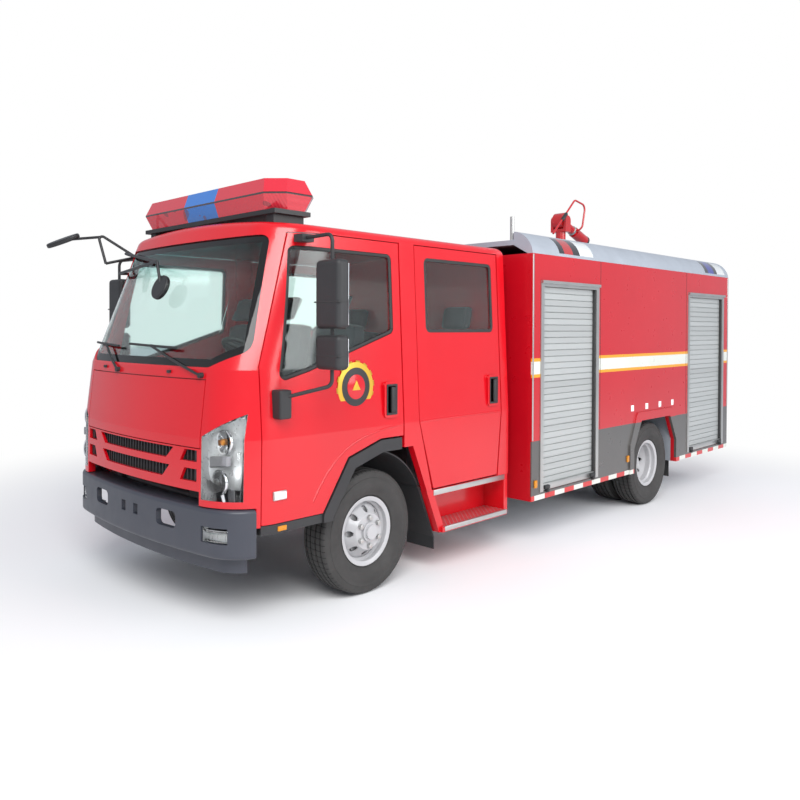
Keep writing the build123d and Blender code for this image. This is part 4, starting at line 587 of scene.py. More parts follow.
class Bench:
    """The workbench: starts, shapes and finishes pieces with Blender's own operators."""

    most_round = 0.4

    def __init__(self, paints: Paintbox, nodes: dict[str, bpy.types.Object]) -> None:
        """Keep the paint box for dressing the pieces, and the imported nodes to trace."""
        self.paints = paints
        self.nodes = nodes

    @staticmethod
    def pick(piece: bpy.types.Object) -> None:
        """Select one object alone and make it active."""
        bpy.ops.object.select_all(action="DESELECT")
        piece.select_set(True)
        bpy.context.view_layer.objects.active = piece

    def block(self, name: str, x: Span, y: Span, z: Span, round_off: float) -> bpy.types.Object:
        """Add a block with rounded edges.

        Args:
            name: The piece's name.
            x: Its reach along X.
            y: Its reach along Y.
            z: Its reach along Z.
            round_off: The width of its rounded edges.

        Returns:
            The new object.
        """
        bpy.ops.object.select_all(action="DESELECT")
        centre = [(low + high) / 2 for low, high in (x, y, z)]
        size = [high - low for low, high in (x, y, z)]
        bpy.ops.mesh.primitive_cube_add(size=1, location=centre)
        piece = bpy.context.object
        piece.name = name
        piece.scale = size
        self.settle(piece)
        self.bevel(piece, min(round_off, min(size) * self.most_round))
        return piece

    def slab(self, name: str, slab: Slab, place: Point) -> bpy.types.Object:
        """Add a slab at a place on the side."""
        x, y, z = place
        out = (y + slab.out[0], y + slab.out[1])
        return self.block(
            name, about(x, slab.half_width), out, about(z, slab.half_height), slab.round_off
        )

    def drum(self, name: str, centre: Point, radius: float, depth: float, axis: Axis,
             vertices: int = 32, round_off: float = 0.002) -> bpy.types.Object:
        """Add a round piece with rounded rims.

        Args:
            name: The piece's name.
            centre: Its middle.
            radius: Its radius.
            depth: Its length along the axis.
            axis: The direction that it lies along.
            vertices: The number of its sides.
            round_off: The width of its rounded rims.

        Returns:
            The new object.
        """
        bpy.ops.object.select_all(action="DESELECT")
        bpy.ops.mesh.primitive_cylinder_add(
            vertices=vertices, radius=radius, depth=depth, location=centre, rotation=axis.value
        )
        piece = bpy.context.object
        piece.name = name
        self.settle(piece)
        self.bevel(piece, min(round_off, min(depth, radius) * self.most_round))
        return piece

    def settle(self, piece: bpy.types.Object) -> None:
        """Put the piece's place, turn and scale into its mesh."""
        self.pick(piece)
        bpy.ops.object.transform_apply(location=True, rotation=True, scale=True)

    def modify(self, piece: bpy.types.Object, kind: str, **values: object) -> None:
        """Put a modifier with its values into the piece's mesh."""
        self.pick(piece)
        modifier = piece.modifiers.new("shape", kind)
        for key, value in values.items():
            setattr(modifier, key, value)
        bpy.ops.object.modifier_apply(modifier=modifier.name)

    def bevel(self, piece: bpy.types.Object, width: float) -> None:
        """Round the piece's sharp edges."""
        self.modify(piece, "BEVEL", width=width, segments=2, limit_method="ANGLE")
        bpy.ops.object.shade_smooth_by_angle(angle=radians(40))

    def open_edit(self, piece: bpy.types.Object) -> None:
        """Open a piece in edit mode with all of it selected."""
        self.pick(piece)
        bpy.ops.object.mode_set(mode="EDIT")
        bpy.ops.mesh.select_all(action="SELECT")

    def select_faces(self, piece: bpy.types.Object, test: FaceTest) -> None:
        """Open a piece in edit mode with the faces that pass a test selected."""
        self.open_edit(piece)
        bpy.ops.mesh.select_mode(type="FACE")
        bpy.ops.mesh.select_all(action="DESELECT")
        mesh = bmesh.from_edit_mesh(piece.data)
        for face in mesh.faces:
            if test(face):
                face.select = True
        bmesh.update_edit_mesh(piece.data)

    def cut_faces(self, piece: bpy.types.Object, test: FaceTest) -> None:
        """Take the faces that pass a test out of a piece."""
        self.select_faces(piece, test)
        bpy.ops.mesh.delete(type="FACE")
        self.close_edit()

    @staticmethod
    def close_edit() -> None:
        """Leave edit mode."""
        bpy.ops.object.mode_set(mode="OBJECT")

    def sink(self, piece: bpy.types.Object, test: FaceTest, border: float, move: Point) -> None:
        """Inset the chosen faces and push what is inside the border along a direction."""
        self.select_faces(piece, test)
        bpy.ops.mesh.inset(thickness=border, use_boundary=True)
        bpy.ops.transform.translate(value=move)
        self.close_edit()

    def bead(self, name: str, points: list[Point], radius: float) -> bpy.types.Object:
        """Lay a round bead along points.

        Args:
            name: The piece's name.
            points: The places that it runs through.
            radius: The bead's radius.

        Returns:
            The new object.
        """
        curve = bpy.data.curves.new(name, "CURVE")
        curve.dimensions = "3D"
        curve.bevel_depth = radius
        curve.bevel_resolution = 2
        curve.use_fill_caps = True
        spline = curve.splines.new("POLY")
        spline.points.add(len(points) - 1)
        for point, place in zip(spline.points, points):
            point.co = (*place, 1.0)
        piece = bpy.data.objects.new(name, curve)
        bpy.context.scene.collection.objects.link(piece)
        self.pick(piece)
        bpy.ops.object.convert(target="MESH")
        bpy.ops.object.shade_smooth_by_angle(angle=radians(50))
        return bpy.context.object

    def spin_ring(self, name: str, profile: list[tuple[float, float]], centre: Point,
                  steps: int) -> bpy.types.Object:
        """Spin a closed profile into a ring about a line along Y.

        Args:
            name: The piece's name.
            profile: The radius and side place of each corner.
            centre: The middle of the ring.
            steps: How many segments the ring has.

        Returns:
            The new object.
        """
        mesh = bpy.data.meshes.new(name)
        places = [(centre[0], centre[1] + y, centre[2] + radius) for radius, y in profile]
        edges = [(index, (index + 1) % len(places)) for index in range(len(places))]
        mesh.from_pydata(places, edges, [])
        piece = bpy.data.objects.new(name, mesh)
        bpy.context.scene.collection.objects.link(piece)
        self.open_edit(piece)
        bpy.ops.mesh.spin(steps=steps, angle=2 * pi, center=centre, axis=(0, 1, 0))
        bpy.ops.mesh.select_all(action="SELECT")
        bpy.ops.mesh.remove_doubles(threshold=0.0001)
        bpy.ops.mesh.normals_make_consistent(inside=False)
        self.close_edit()
        bpy.ops.object.shade_smooth_by_angle(angle=radians(35))
        return piece

    def copy_node(self, name: str, node: str) -> bpy.types.Object:
        """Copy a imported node's mesh into a new piece with its corners joined."""
        piece = bpy.data.objects.new(name, self.nodes[node].data.copy())
        bpy.context.scene.collection.objects.link(piece)
        self.open_edit(piece)
        bpy.ops.mesh.remove_doubles(threshold=0.00002)
        self.close_edit()
        return piece

    def twin(self, piece: bpy.types.Object, name: str) -> bpy.types.Object:
        """Give the piece's mirror image on the other side of the truck."""
        self.pick(piece)
        bpy.ops.object.duplicate()
        other = bpy.context.object
        other.name = name
        self.open_edit(other)
        bpy.ops.transform.resize(value=(1, -1, 1), center_override=(0, 0, 0))
        bpy.ops.mesh.normals_make_consistent(inside=False)
        self.close_edit()
        return other

    def join(self, pieces: list[bpy.types.Object], name: str) -> bpy.types.Object:
        """Join pieces into the first of them, under a new name."""
        self.pick(pieces[0])
        for piece in pieces:
            piece.select_set(True)
        bpy.ops.object.join()
        joined = bpy.context.object
        joined.name = name
        return joined

    @staticmethod
    def turn(piece: bpy.types.Object, angle: float, centre: Point) -> None:
        """Turn a piece's mesh about a line along Y through a point."""
        place = Matrix.Translation(centre)
        piece.data.transform(place @ Matrix.Rotation(angle, 4, "Y") @ place.inverted())

    def hang(self, piece: bpy.types.Object, body: str, finish: Finish, slot: str = "") -> None:
        """Dress a piece and let it ride on a body."""
        self.paints.dress(piece, finish)
        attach(piece, body)
        slot or STAND_INS.get(finish, finish.value.name)
        LOG.info("added %s on %s", piece.name, body)

    def pair(self, piece: bpy.types.Object, body: str, finish: Finish,
             slot: str = "") -> list[bpy.types.Object]:
        """Hang a left-hand piece and its mirror image, and give both."""
        other = self.twin(piece, piece.name.replace("left", "right"))
        self.hang(piece, body, finish, slot)
        self.hang(other, body.replace("left", "right"), finish, slot)
        return [piece, other]

    def fit(self, name: str, slab: Slab, place: Point, finish: Finish,
            body: str = "chassis", slot: str = "") -> None:
        """Hang a slab and its mirror image."""
        self.pair(self.slab(name, slab, place), body, finish, slot)

    def fit_rows(self, rows: Iterable[Row], body: str = "chassis") -> None:
        """Hang blocks and their mirror images.

        Args:
            rows: Each block's name, its reach along X from the front axle, along Y and along Z,
                the width of its rounded edges and its finish.
            body: The left-hand body that they ride on.
        """
        for name, (back, front), y, z, round_off, finish in rows:
            block = self.block(name, (ahead(back), ahead(front)), y, z, round_off)
            self.pair(block, body, finish)


@dataclass
class CabForm:
    """The cab's outer surface, for laying pieces on it.

    Each row gives a height, the nose's reach ahead of the front axle and the half width there.
    """

    rows: tuple[Point, ...] = (
        (0.600, 1.190, 0.995), (1.090, 1.182, 0.995), (1.480, 1.138, 0.976), (2.440, 0.748, 0.929),
    )
    bow: float = 5.0
    corner: float = 0.33

    def values(self, z: float) -> Span:
        """Give the nose and half width at a height."""
        for low, high in zip(self.rows, self.rows[1:]):
            if z <= high[0]:
                share = (z - low[0]) / (high[0] - low[0])
                return low[1] + share * (high[1] - low[1]), low[2] + share * (high[2] - low[2])
        return self.rows[-1][1], self.rows[-1][2]

    def corner_centre(self, z: float) -> Span:
        """Give the centre of the corner's arc at a height."""
        nose, half = self.values(z)
        y = half - self.corner
        return ahead(nose) - self.bow + sqrt((self.bow - self.corner) ** 2 - y * y), y

    def front_x(self, y: float, z: float) -> float:
        """Give the X of the front surface."""
        nose, _ = self.values(z)
        x, centre_y = self.corner_centre(z)
        if abs(y) <= self.bow * centre_y / (self.bow - self.corner):
            return ahead(nose) - self.bow + sqrt(self.bow ** 2 - y * y)
        return x + sqrt(max(0.0, self.corner ** 2 - (abs(y) - centre_y) ** 2))

    def side_y(self, x: float, z: float) -> float:
        """Give the Y of the left side's surface."""
        centre_x, centre_y = self.corner_centre(z)
        if x <= centre_x:
            return self.values(z)[1]
        return centre_y + sqrt(max(0.0, self.corner ** 2 - (x - centre_x) ** 2))


@dataclass
class CabTrim:
    """The trim outside the cab: seals, handles, emblem, lamps, pressed lines and mirror faces."""

    bench: Bench
    form: CabForm = field(default_factory=CabForm)
    seal_width: float = 0.022
    seal_depth: float = 0.010
    outward: float = 0.8
    handle_places: tuple[tuple[float, str], ...] = (
        (-0.130, "door_front_left"), (-1.264, "door_rear_left"),
    )
    handle_height: float = 1.256
    housing_side: float = 0.995
    housing_depth: float = 0.009
    tray: Slab = Slab(0.050, (-0.004, 0.006), 0.100, 0.004)
    tray_border: float = 0.010
    tray_sink: Point = (0.0, -0.006, 0.0)
    tray_face: float = 0.005
    grip: Slab = Slab(0.018, (0.002, 0.020), 0.082, 0.008)
    lock_offset: Point = (-0.032, 0.004, -0.070)
    lock_size: Span = (0.009, 0.012)
    emblem_place: Span = (0.183, 1.353)
    tooth: float = 0.010
    emblem: tuple[tuple[str, float, float, Finish, int], ...] = (
        ("emblem_ring_left", 0.155, 0.004, Finish.GOLD, 28),
        ("emblem_field_left", 0.1209, 0.006, Finish.PLASTIC, 48),
        ("emblem_heart_left", 0.0775, 0.008, Finish.CAB_RED, 32),
        ("emblem_drop_left", 0.0403, 0.011, Finish.GOLD, 3),
    )
    door_lamp: Span = (0.801, 0.769)
    lamp_base: Slab = Slab(0.048, (-0.006, 0.008), 0.026, 0.004)
    lamp_lens: Slab = Slab(0.042, (0.006, 0.016), 0.020, 0.006)
    sill_lamps: tuple[Row, ...] = (
        ("sill_lamp_left", (0.745, 0.810), (0.985, 0.995), (0.563, 0.592), 0.004, Finish.AMBER),
    )
    crease_radius: float = 0.009
    crease_sunk: float = 0.0055
    front_crease: tuple[Span, ...] = (
        (0.545, 0.690), (0.490, 0.770), (0.430, 0.845), (0.360, 0.915), (0.290, 0.965),
        (0.200, 1.008), (0.113, 1.035), (0.0, 1.060), (-0.110, 1.075), (-0.240, 1.084),
    )
    rear_crease: tuple[Span, ...] = ((-0.432, 1.088), (-1.366, 1.090))
    mirrors: tuple[Row, ...] = (
        ("mirror_face_tall_left", (0.571, 0.578), (1.150, 1.320), (1.735, 2.080), 0.002,
         Finish.MIRROR),
        ("mirror_face_small_left", (0.571, 0.578), (1.150, 1.320), (1.505, 1.658), 0.002,
         Finish.MIRROR),
        ("mirror_seam_tall_left", (0.594, 0.6675), (1.134, 1.336), (1.860, 1.868), 0.001,
         Finish.RUBBER),
        ("mirror_seam_small_left", (0.594, 0.6675), (1.134, 1.336), (1.560, 1.566), 0.001,
         Finish.RUBBER),
    )

    def seal(self, node: str, body: str) -> None:
        """Lay a black rubber seal round a window."""
        side = 1 if node.endswith("left") else -1
        piece = self.bench.copy_node("seal_" + node, node)
        self.bench.cut_faces(piece, lambda face: face.normal.y * side < self.outward)
        self.bench.open_edit(piece)
        bpy.ops.mesh.dissolve_limited(angle_limit=radians(2))
        bpy.ops.mesh.select_all(action="SELECT")
        bpy.ops.mesh.inset(thickness=self.seal_width, use_boundary=True)
        bpy.ops.mesh.delete(type="FACE")
        self.bench.close_edit()
        self.bench.modify(piece, "SOLIDIFY", thickness=self.seal_depth, offset=1.0)
        self.bench.hang(piece, body, Finish.RUBBER)

    def handles(self) -> None:
        """Set a black recessed pull handle into each door's housing."""
        for place, body in self.handle_places:
            x, z = ahead(place), self.handle_height
            y = max(self.form.side_y(x, z), self.housing_side) + self.housing_depth
            tray = self.bench.slab("handle_tray_" + body, self.tray, (x, y, z))
            self.bench.sink(
                tray, lambda face: face.normal.y > 0.9 and face.calc_area() > self.tray_face,
                self.tray_border, self.tray_sink,
            )
            grip = self.bench.slab("handle_grip_" + body, self.grip, (x, y, z))
            middle = tuple(a + b for a, b in zip((x, y, z), self.lock_offset))
            lock = self.bench.drum("handle_lock_" + body, middle, *self.lock_size, Axis.Y)
            piece = self.bench.join([tray, grip, lock], "handle_" + body)
            self.bench.pair(piece, body, Finish.PLASTIC)

    def roundel(self) -> None:
        """Put a plain roundel on each front door: a notched ring, two discs and a flame drop."""
        x, z = ahead(self.emblem_place[0]), self.emblem_place[1]
        y = self.form.side_y(x, z)
        for name, radius, depth, finish, sides in self.emblem:
            centre = (x, y + depth / 2, z)
            disc = self.bench.drum(name, centre, radius, depth, Axis.Y, sides, 0.001)
            if name == "emblem_ring_left":
                self.bench.select_faces(
                    disc, lambda face: abs(face.normal.y) < 0.2 and face.index % 2 == 0
                )
                bpy.ops.mesh.extrude_faces_move(TRANSFORM_OT_shrink_fatten={"value": self.tooth})
                self.bench.close_edit()
            self.bench.pair(disc, "door_front_left", finish)

    def markers(self) -> None:
        """Add the side lamps on the front doors and the amber lamps in the sills."""
        x, z = ahead(self.door_lamp[0]), self.door_lamp[1]
        place, door = (x, self.form.side_y(x, z), z), "door_front_left"
        self.bench.fit("door_lamp_base_left", self.lamp_base, place, Finish.STEEL, door)
        self.bench.fit(
            "door_lamp_lens_left", self.lamp_lens, place, Finish.TAPE, door, "black_plastic"
        )
        self.bench.fit_rows(self.sill_lamps)

    def creases(self) -> None:
        """Raise the pressed line that runs over the wheel arch and along the rear door."""
        for end, line in (("front", self.front_crease), ("rear", self.rear_crease)):
            places = [
                (ahead(x), self.form.side_y(ahead(x), z) - self.crease_sunk, z) for x, z in line
            ]
            bead = self.bench.bead(f"crease_{end}_left", places, self.crease_radius)
            self.bench.pair(bead, f"door_{end}_left", Finish.CAB_RED)

    def build(self) -> None:
        """Build all the cab's outer trim."""
        for side in ("left", "right"):
            self.seal("window_front_" + side, "door_front_" + side)
            self.seal("window_rear_" + side, "door_rear_" + side)
        self.handles()
        self.roundel()
        self.markers()
        self.creases()
        self.bench.fit_rows(self.mirrors, "door_front_left")


@dataclass
class Seats:
    """The seats' bases and cushions, each seat from a name, its X and Y spans and its top."""

    bench: Bench
    seats: tuple[tuple[str, Span, Span, float], ...] = (
        ("driver", (-0.170, 0.330), (0.185, 0.675), 1.960),
        ("passenger_inner", (-0.170, 0.330), (-0.340, 0.125), 1.960),
        ("passenger_outer", (-0.170, 0.330), (-0.845, -0.350), 1.960),
        ("rear_left", (-1.410, -0.885), (0.290, 0.855), 1.900),
        ("rear_middle", (-1.410, -0.885), (-0.280, 0.280), 1.900),
        ("rear_right", (-1.410, -0.885), (-0.855, -0.290), 1.900),
    )
    base_height: Span = (0.963, 1.135)
    base_inset: Span = (0.03, 0.02)
    base_round: float = 0.012
    cushion_height: Span = (1.136, 1.286)
    cushion_back: float = 0.03
    back_foot: float = 1.290
    back_depth: float = 0.13
    back_drop: float = 0.20
    rest_depth: Span = (0.02, 0.11)
    rest_half: float = 0.13
    rest_drop: Span = (0.19, 0.005)
    leans: tuple[tuple[str, float], ...] = (("front_seats", 0.045), ("rear_seat", 0.02))
    softness: float = 0.75
    pad_round: float = 0.030
    pull_in: float = 0.05
    edge_from: float = 0.85
    channel_place: float = 0.55
    channel_half: float = 0.10
    channel_depth: float = 0.012

    def pad_spans(self, x: Span, y: Span, top: float) -> Iterable[tuple[str, Spans]]:
        """Give the name and the spans of a seat's cushion, back and headrest."""
        back, front = x
        yield "cushion", ((back + self.cushion_back, front), y, self.cushion_height)
        yield "back", ((back, back + self.back_depth), y, (self.back_foot, top - self.back_drop))
        yield "headrest", (
            (back + self.rest_depth[0], back + self.rest_depth[1]),
            about(sum(y) / 2, self.rest_half),
            (top - self.rest_drop[0], top - self.rest_drop[1]),
        )

    def pad(self, name: str, spans: Spans, slant: float) -> bpy.types.Object:
        """Make one crowned cushion with two sewn channels.

        Args:
            name: The cushion's name.
            spans: Its reach along X, Y and Z.
            slant: How far its top leans back.

        Returns:
            The cushion.
        """
        piece = self.bench.block(name, *spans, self.pad_round)
        self.bench.open_edit(piece)
        bpy.ops.mesh.subdivide(number_cuts=3, smoothness=0.0)
        self.bench.close_edit()
        centre = Vector([(low + high) / 2 for low, high in spans])
        half = Vector([(high - low) / 2 for low, high in spans])
        for vertex in piece.data.vertices:
            place = [(vertex.co[i] - centre[i]) / half[i] for i in range(3)]
            pull = 1.0 - self.pull_in * sum(abs(p) > self.edge_from for p in place)
            in_channel = abs(abs(place[1]) - self.channel_place) < self.channel_half
            channel = self.channel_depth if in_channel else 0.0
            for i in range(3):
                vertex.co[i] = centre[i] + place[i] * half[i] * pull
            vertex.co.x -= channel * (1 if place[0] > 0 else -1) * 0.5
            vertex.co.z -= channel * (1 if place[2] > 0.5 else 0)
            vertex.co.x -= slant * (place[2] + 1)
        self.bench.modify(piece, "SUBSURF", levels=1, render_levels=1)
        bpy.ops.object.shade_smooth()
        return piece

    def build(self) -> None:
        """Make the seats' cushions and backs as padded pieces on the seat bases."""
        first: dict[str, bpy.types.Object] = {}
        inset_x, inset_y = self.base_inset
        for name, (back, front), y, top in self.seats:
            node, lean = self.leans["rear" in name]
            x = (ahead(back), ahead(front))
            base = self.bench.block(
                "seat_base_" + name, (x[0], x[1] - inset_x), (y[0] + inset_y, y[1] - inset_y),
                self.base_height, self.base_round,
            )
            self.bench.hang(base, "chassis", Finish.TRIM)
            for kind, spans in self.pad_spans(x, y, top):
                slant = 0.0 if kind == "cushion" else lean
                pad = self.pad(f"seat_{kind}_{name}", spans, slant)
                self.bench.hang(pad, "chassis", Finish.CLOTH)
                first.setdefault(node, pad)
        for node, pad in first.items():
            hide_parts(node)


@dataclass
class WasherJets:
    """The two washer jets under the windscreen."""

    bench: Bench
    form: CabForm = field(default_factory=CabForm)
    sides: Span = (0.36, -0.46)
    height: float = 1.457
    reach: Span = (-0.006, 0.016)
    half: float = 0.014
    rise: Span = (-0.008, 0.010)
    round_off: float = 0.004

    def build(self) -> None:
        """Set each jet on the front panel."""
        for index, y in enumerate(self.sides):
            x, z = self.form.front_x(y, self.height), self.height
            jet = self.bench.block(
                f"washer_jet_{index}", (x + self.reach[0], x + self.reach[1]),
                about(y, self.half), (z + self.rise[0], z + self.rise[1]), self.round_off,
            )
            self.bench.hang(jet, "chassis", Finish.PLASTIC)


@dataclass
class Headlamps:
    """The headlamps' shells, reflectors and bulbs.

    Each unit gives its name, Y, height, reflector radius and the finish of its bulb.
    """

    bench: Bench
    form: CabForm = field(default_factory=CabForm)
    front_slope: float = 0.30
    skin: float = 0.004
    set_back: float = 0.030
    units: tuple[tuple[str, float, float, float, Finish], ...] = (
        ("dip", 0.800, 0.855, 0.078, Finish.STEEL), ("main", 0.830, 1.080, 0.070, Finish.AMBER),
    )
    reflector_depth: float = 0.020
    rim: float = 0.010
    hollow: Point = (-0.006, 0.0, 0.0)
    bulb_size: Span = (0.016, 0.018)
    bulb_ahead: float = 0.010
    ledge_place: Span = (0.82, 0.98)
    ledge_half: float = 0.018
    ledge_side: Span = (0.715, 0.880)
    ledge_height: Span = (0.950, 1.004)

    def shells(self) -> None:
        """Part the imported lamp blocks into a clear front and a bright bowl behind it."""
        lens = self.bench.copy_node("lamp_lenses", "front_lamps")
        self.bench.cut_faces(lens, lambda face: face.normal.x <= self.front_slope)
        self.bench.modify(lens, "SOLIDIFY", thickness=self.skin, offset=-1.0)
        self.bench.hang(lens, "chassis", Finish.CLEAR)
        bowl = self.bench.copy_node("lamp_bowls", "front_lamps")
        self.bench.cut_faces(bowl, lambda face: face.normal.x > self.front_slope)
        self.bench.hang(bowl, "chassis", Finish.BOWL)
        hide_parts("front_lamps")

    def inside(self) -> None:
        """Add the round reflectors, bulbs and the ledge between the two units."""
        for name, y, z, radius, finish in self.units:
            x = self.form.front_x(y, z) - self.set_back
            bowl = self.bench.drum(
                f"reflector_{name}_left", (x, y, z), radius, self.reflector_depth, Axis.X, 40, 0.004
            )
            self.bench.sink(bowl, lambda face: face.normal.x > 0.9, self.rim, self.hollow)
            self.bench.pair(bowl, "chassis", Finish.CHROME)
            bulb = self.bench.drum(
                f"bulb_{name}_left", (x + self.bulb_ahead, y, z), *self.bulb_size, Axis.X, 20, 0.006
            )
            self.bench.pair(bulb, "chassis", finish, "lamp_red")
        x = self.form.front_x(*self.ledge_place) - self.set_back
        ledge = self.bench.block(
            "lamp_ledge_left", about(x, self.ledge_half), self.ledge_side, self.ledge_height, 0.006
        )
        self.bench.pair(ledge, "chassis", Finish.TRIM)

    def build(self) -> None:
        """Build the lamps."""
        self.shells()
        self.inside()


@dataclass(frozen=True)
class NutRing:
    """A ring of hexagons: its count, first place, circle, offset and the size of each."""

    kind: str
    count: int
    start: float
    circle: float
    out: float
    radius: float
    depth: float
    round_off: float


@dataclass
class Wheels:
    """The wheels' nuts, hub bolts and tyres.

    The tyre's profile gives a radius and a half width in millimetres for each corner.
    """

    bench: Bench
    rings: tuple[NutRing, ...] = (
        NutRing("nut", 6, 0.5, 0.092, 0.0, 0.018, 0.020, 0.002),
        NutRing("bolt", 8, 0.0, 0.036, 0.012, 0.006, 0.008, 0.001),
    )
    hubs: tuple[tuple[str, float, float, str], ...] = (
        ("nuts_front_left", FRONT_AXLE, 0.936, "wheel_front_left"),
        ("nuts_rear_left", REAR_AXLE, 0.858, "wheels_rear_left"),
    )
    tyres: tuple[tuple[str, float, float, str, Finish, str], ...] = (
        ("tread_front_left", FRONT_AXLE, 0.8275, "wheel_front_left", Finish.TYRE_FRONT,
         "tyre_front_"),
        ("tread_inner_left", REAR_AXLE, 0.7005, "wheels_rear_left", Finish.TYRE_REAR, ""),
        ("tread_outer_left", REAR_AXLE, 0.9525, "wheels_rear_left", Finish.TYRE_REAR,
         "tyres_rear_"),
    )
    steps: int = 80
    half_profile: tuple[Span, ...] = (
        (204, 60), (204, 71), (224.5, 71.5), (232, 79), (236, 85), (240, 85.5), (262, 97),
        (285, 104.5), (303, 107.3), (320, 106.4), (338, 104.2), (341, 105.6), (347, 105),
        (350, 101.5), (364, 98.5), (378, 94.5), (381, 96), (387, 94.8), (391, 91), (396.4, 85),
        (398.4, 69), (388, 66.5), (388, 58.5), (399.4, 56), (401.2, 29), (391, 26.5),
        (391, 18.5), (401.8, 16), (402.3, 0),
    )
    lining: tuple[Span, ...] = ((206, 44), (300, 80), (376, 62))

    def nut_ring(self, name: str, axle: float, y: float, body: str) -> None:
        """Add the ring of wheel nuts and the small bolts of the hub's cap."""
        pieces = []
        for ring in self.rings:
            for index in range(ring.count):
                angle = 2 * pi * (index + ring.start) / ring.count
                centre = (axle + ring.circle * cos(angle), y + ring.out,
                          AXLE_HEIGHT + ring.circle * sin(angle))
                pieces.append(self.bench.drum(f"{name}_{ring.kind}_{index}", centre, ring.radius,
                                              ring.depth, Axis.Y, 6, ring.round_off))
        self.bench.pair(self.bench.join(pieces, name), body, Finish.STEEL)

    def tyre(self, name: str, axle: float, y: float, body: str,
             finish: Finish) -> list[bpy.types.Object]:
        """Spin one left-hand tyre with its ribs and side-wall rings, and mirror it."""
        half = [(radius / 1000, side / 1000) for radius, side in self.half_profile]
        inner = [(radius / 1000, side / 1000) for radius, side in self.lining]
        profile = half + [(radius, -side) for radius, side in reversed(half[:-1])]
        profile += [(radius, -side) for radius, side in inner] + list(reversed(inner))
        ring = self.bench.spin_ring(name, profile, (axle, y, AXLE_HEIGHT), self.steps)
        return self.bench.pair(ring, body, finish)

    def build(self) -> None:
        """Build the nuts and tyres of every wheel."""
        for hub in self.hubs:
            self.nut_ring(*hub)
        for *values, node in self.tyres:
            for ring in self.tyre(*values):
                if node:
                    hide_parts(node + ring.name.rsplit("_", 1)[1])


@dataclass
class Body:
    """The equipment body's trim: latches, reflectors, markers, edging and step plates."""

    bench: Bench
    openings: tuple[Span, ...] = ((-2.669, -1.736), (-5.560, -4.574))
    side: float = 1.110
    latch_inset: float = 0.10
    latch: Slab = Slab(0.035, (-0.024, 0.018), 0.0155, 0.006)
    latch_height: float = 0.4605
    lever: Slab = Slab(0.012, (-0.010, 0.026), 0.016, 0.005)
    lever_height: float = 0.436
    bar_inset: float = 0.055
    shadow: Span = (0.047, 0.062)
    square: Slab = Slab(0.028, (-0.002, 0.002), 0.028, 0.0015)
    square_places: tuple[float, ...] = (-3.330, -3.630, -3.920, -4.210)
    square_height: float = 0.980
    marker: Slab = Slab(0.020, (0.0, 0.012), 0.030, 0.004)
    marker_places: tuple[Span, ...] = ((-1.672, 0.503), (-3.235, 0.520))
    strips: tuple[Row, ...] = (
        ("edging_front_left", about(-1.632, 0.009), (1.108, 1.114), (0.845, 2.300), 0.002,
         Finish.STEEL),
        ("edging_rear_left", about(-5.690, 0.009), (1.108, 1.114), (0.845, 2.300), 0.002,
         Finish.STEEL),
        ("panel_joint_front_left", about(-2.705, 0.003), (1.109, 1.111), (0.845, 2.304), 0.0004,
         Finish.RUBBER),
        ("panel_joint_rear_left", about(-4.540, 0.003), (1.109, 1.111), (0.845, 2.304), 0.0004,
         Finish.RUBBER),
    )
    steps: tuple[Row, ...] = (
        ("step_plate_left", (-1.436, -0.680), (0.806, 0.996), (0.3252, 0.3285), 0.0012,
         Finish.PLATE),
        ("step_edge_left", (-1.436, -0.680), (0.996, 1.012), (0.296, 0.330), 0.003, Finish.STEEL),
        ("step_sill_left", (-1.428, -0.575), (0.989, 0.994), (0.560, 0.597), 0.002, Finish.STEEL),
    )

    def latches(self) -> None:
        """Add the latches, the lift bar and the guide's shadow at each shutter."""
        for index, (start, end) in enumerate(self.openings):
            pieces = []
            for x in (ahead(start + self.latch_inset), ahead(end - self.latch_inset)):
                for name, slab, z in (("latch", self.latch, self.latch_height),
                                      ("latch_lever", self.lever, self.lever_height)):
                    pieces.append(self.bench.slab(name, slab, (x, self.side, z)))
            self.bench.pair(
                self.bench.join(pieces, f"latches_{index}_left"), "chassis", Finish.PLASTIC
            )
            self.bench.fit_rows((
                (f"lift_bar_{index}_left", (start + self.bar_inset, end - self.bar_inset),
                 (1.094, 1.108), (0.436, 0.486), 0.004, Finish.STEEL),
                (f"shutter_shadow_{index}_left", (start + self.shadow[0], start + self.shadow[1]),
                 (1.086, 1.109), (0.445, 2.050), 0.002, Finish.RUBBER),
            ))

    def reflectors(self) -> None:
        """Add the four white squares above the wheel and the amber markers at the bottom."""
        for index, x in enumerate(self.square_places):
            place = (ahead(x), self.side, self.square_height)
            self.bench.fit(f"reflector_{index}_left", self.square, place, Finish.TAPE)
        for index, (x, z) in enumerate(self.marker_places):
            place = (ahead(x), self.side, z)
            self.bench.fit(f"marker_{index}_left", self.marker, place, Finish.AMBER)

    def build(self) -> None:
        """Build the body's trim."""
        self.latches()
        self.reflectors()
        self.bench.fit_rows(self.strips)
        self.bench.fit_rows(self.steps)


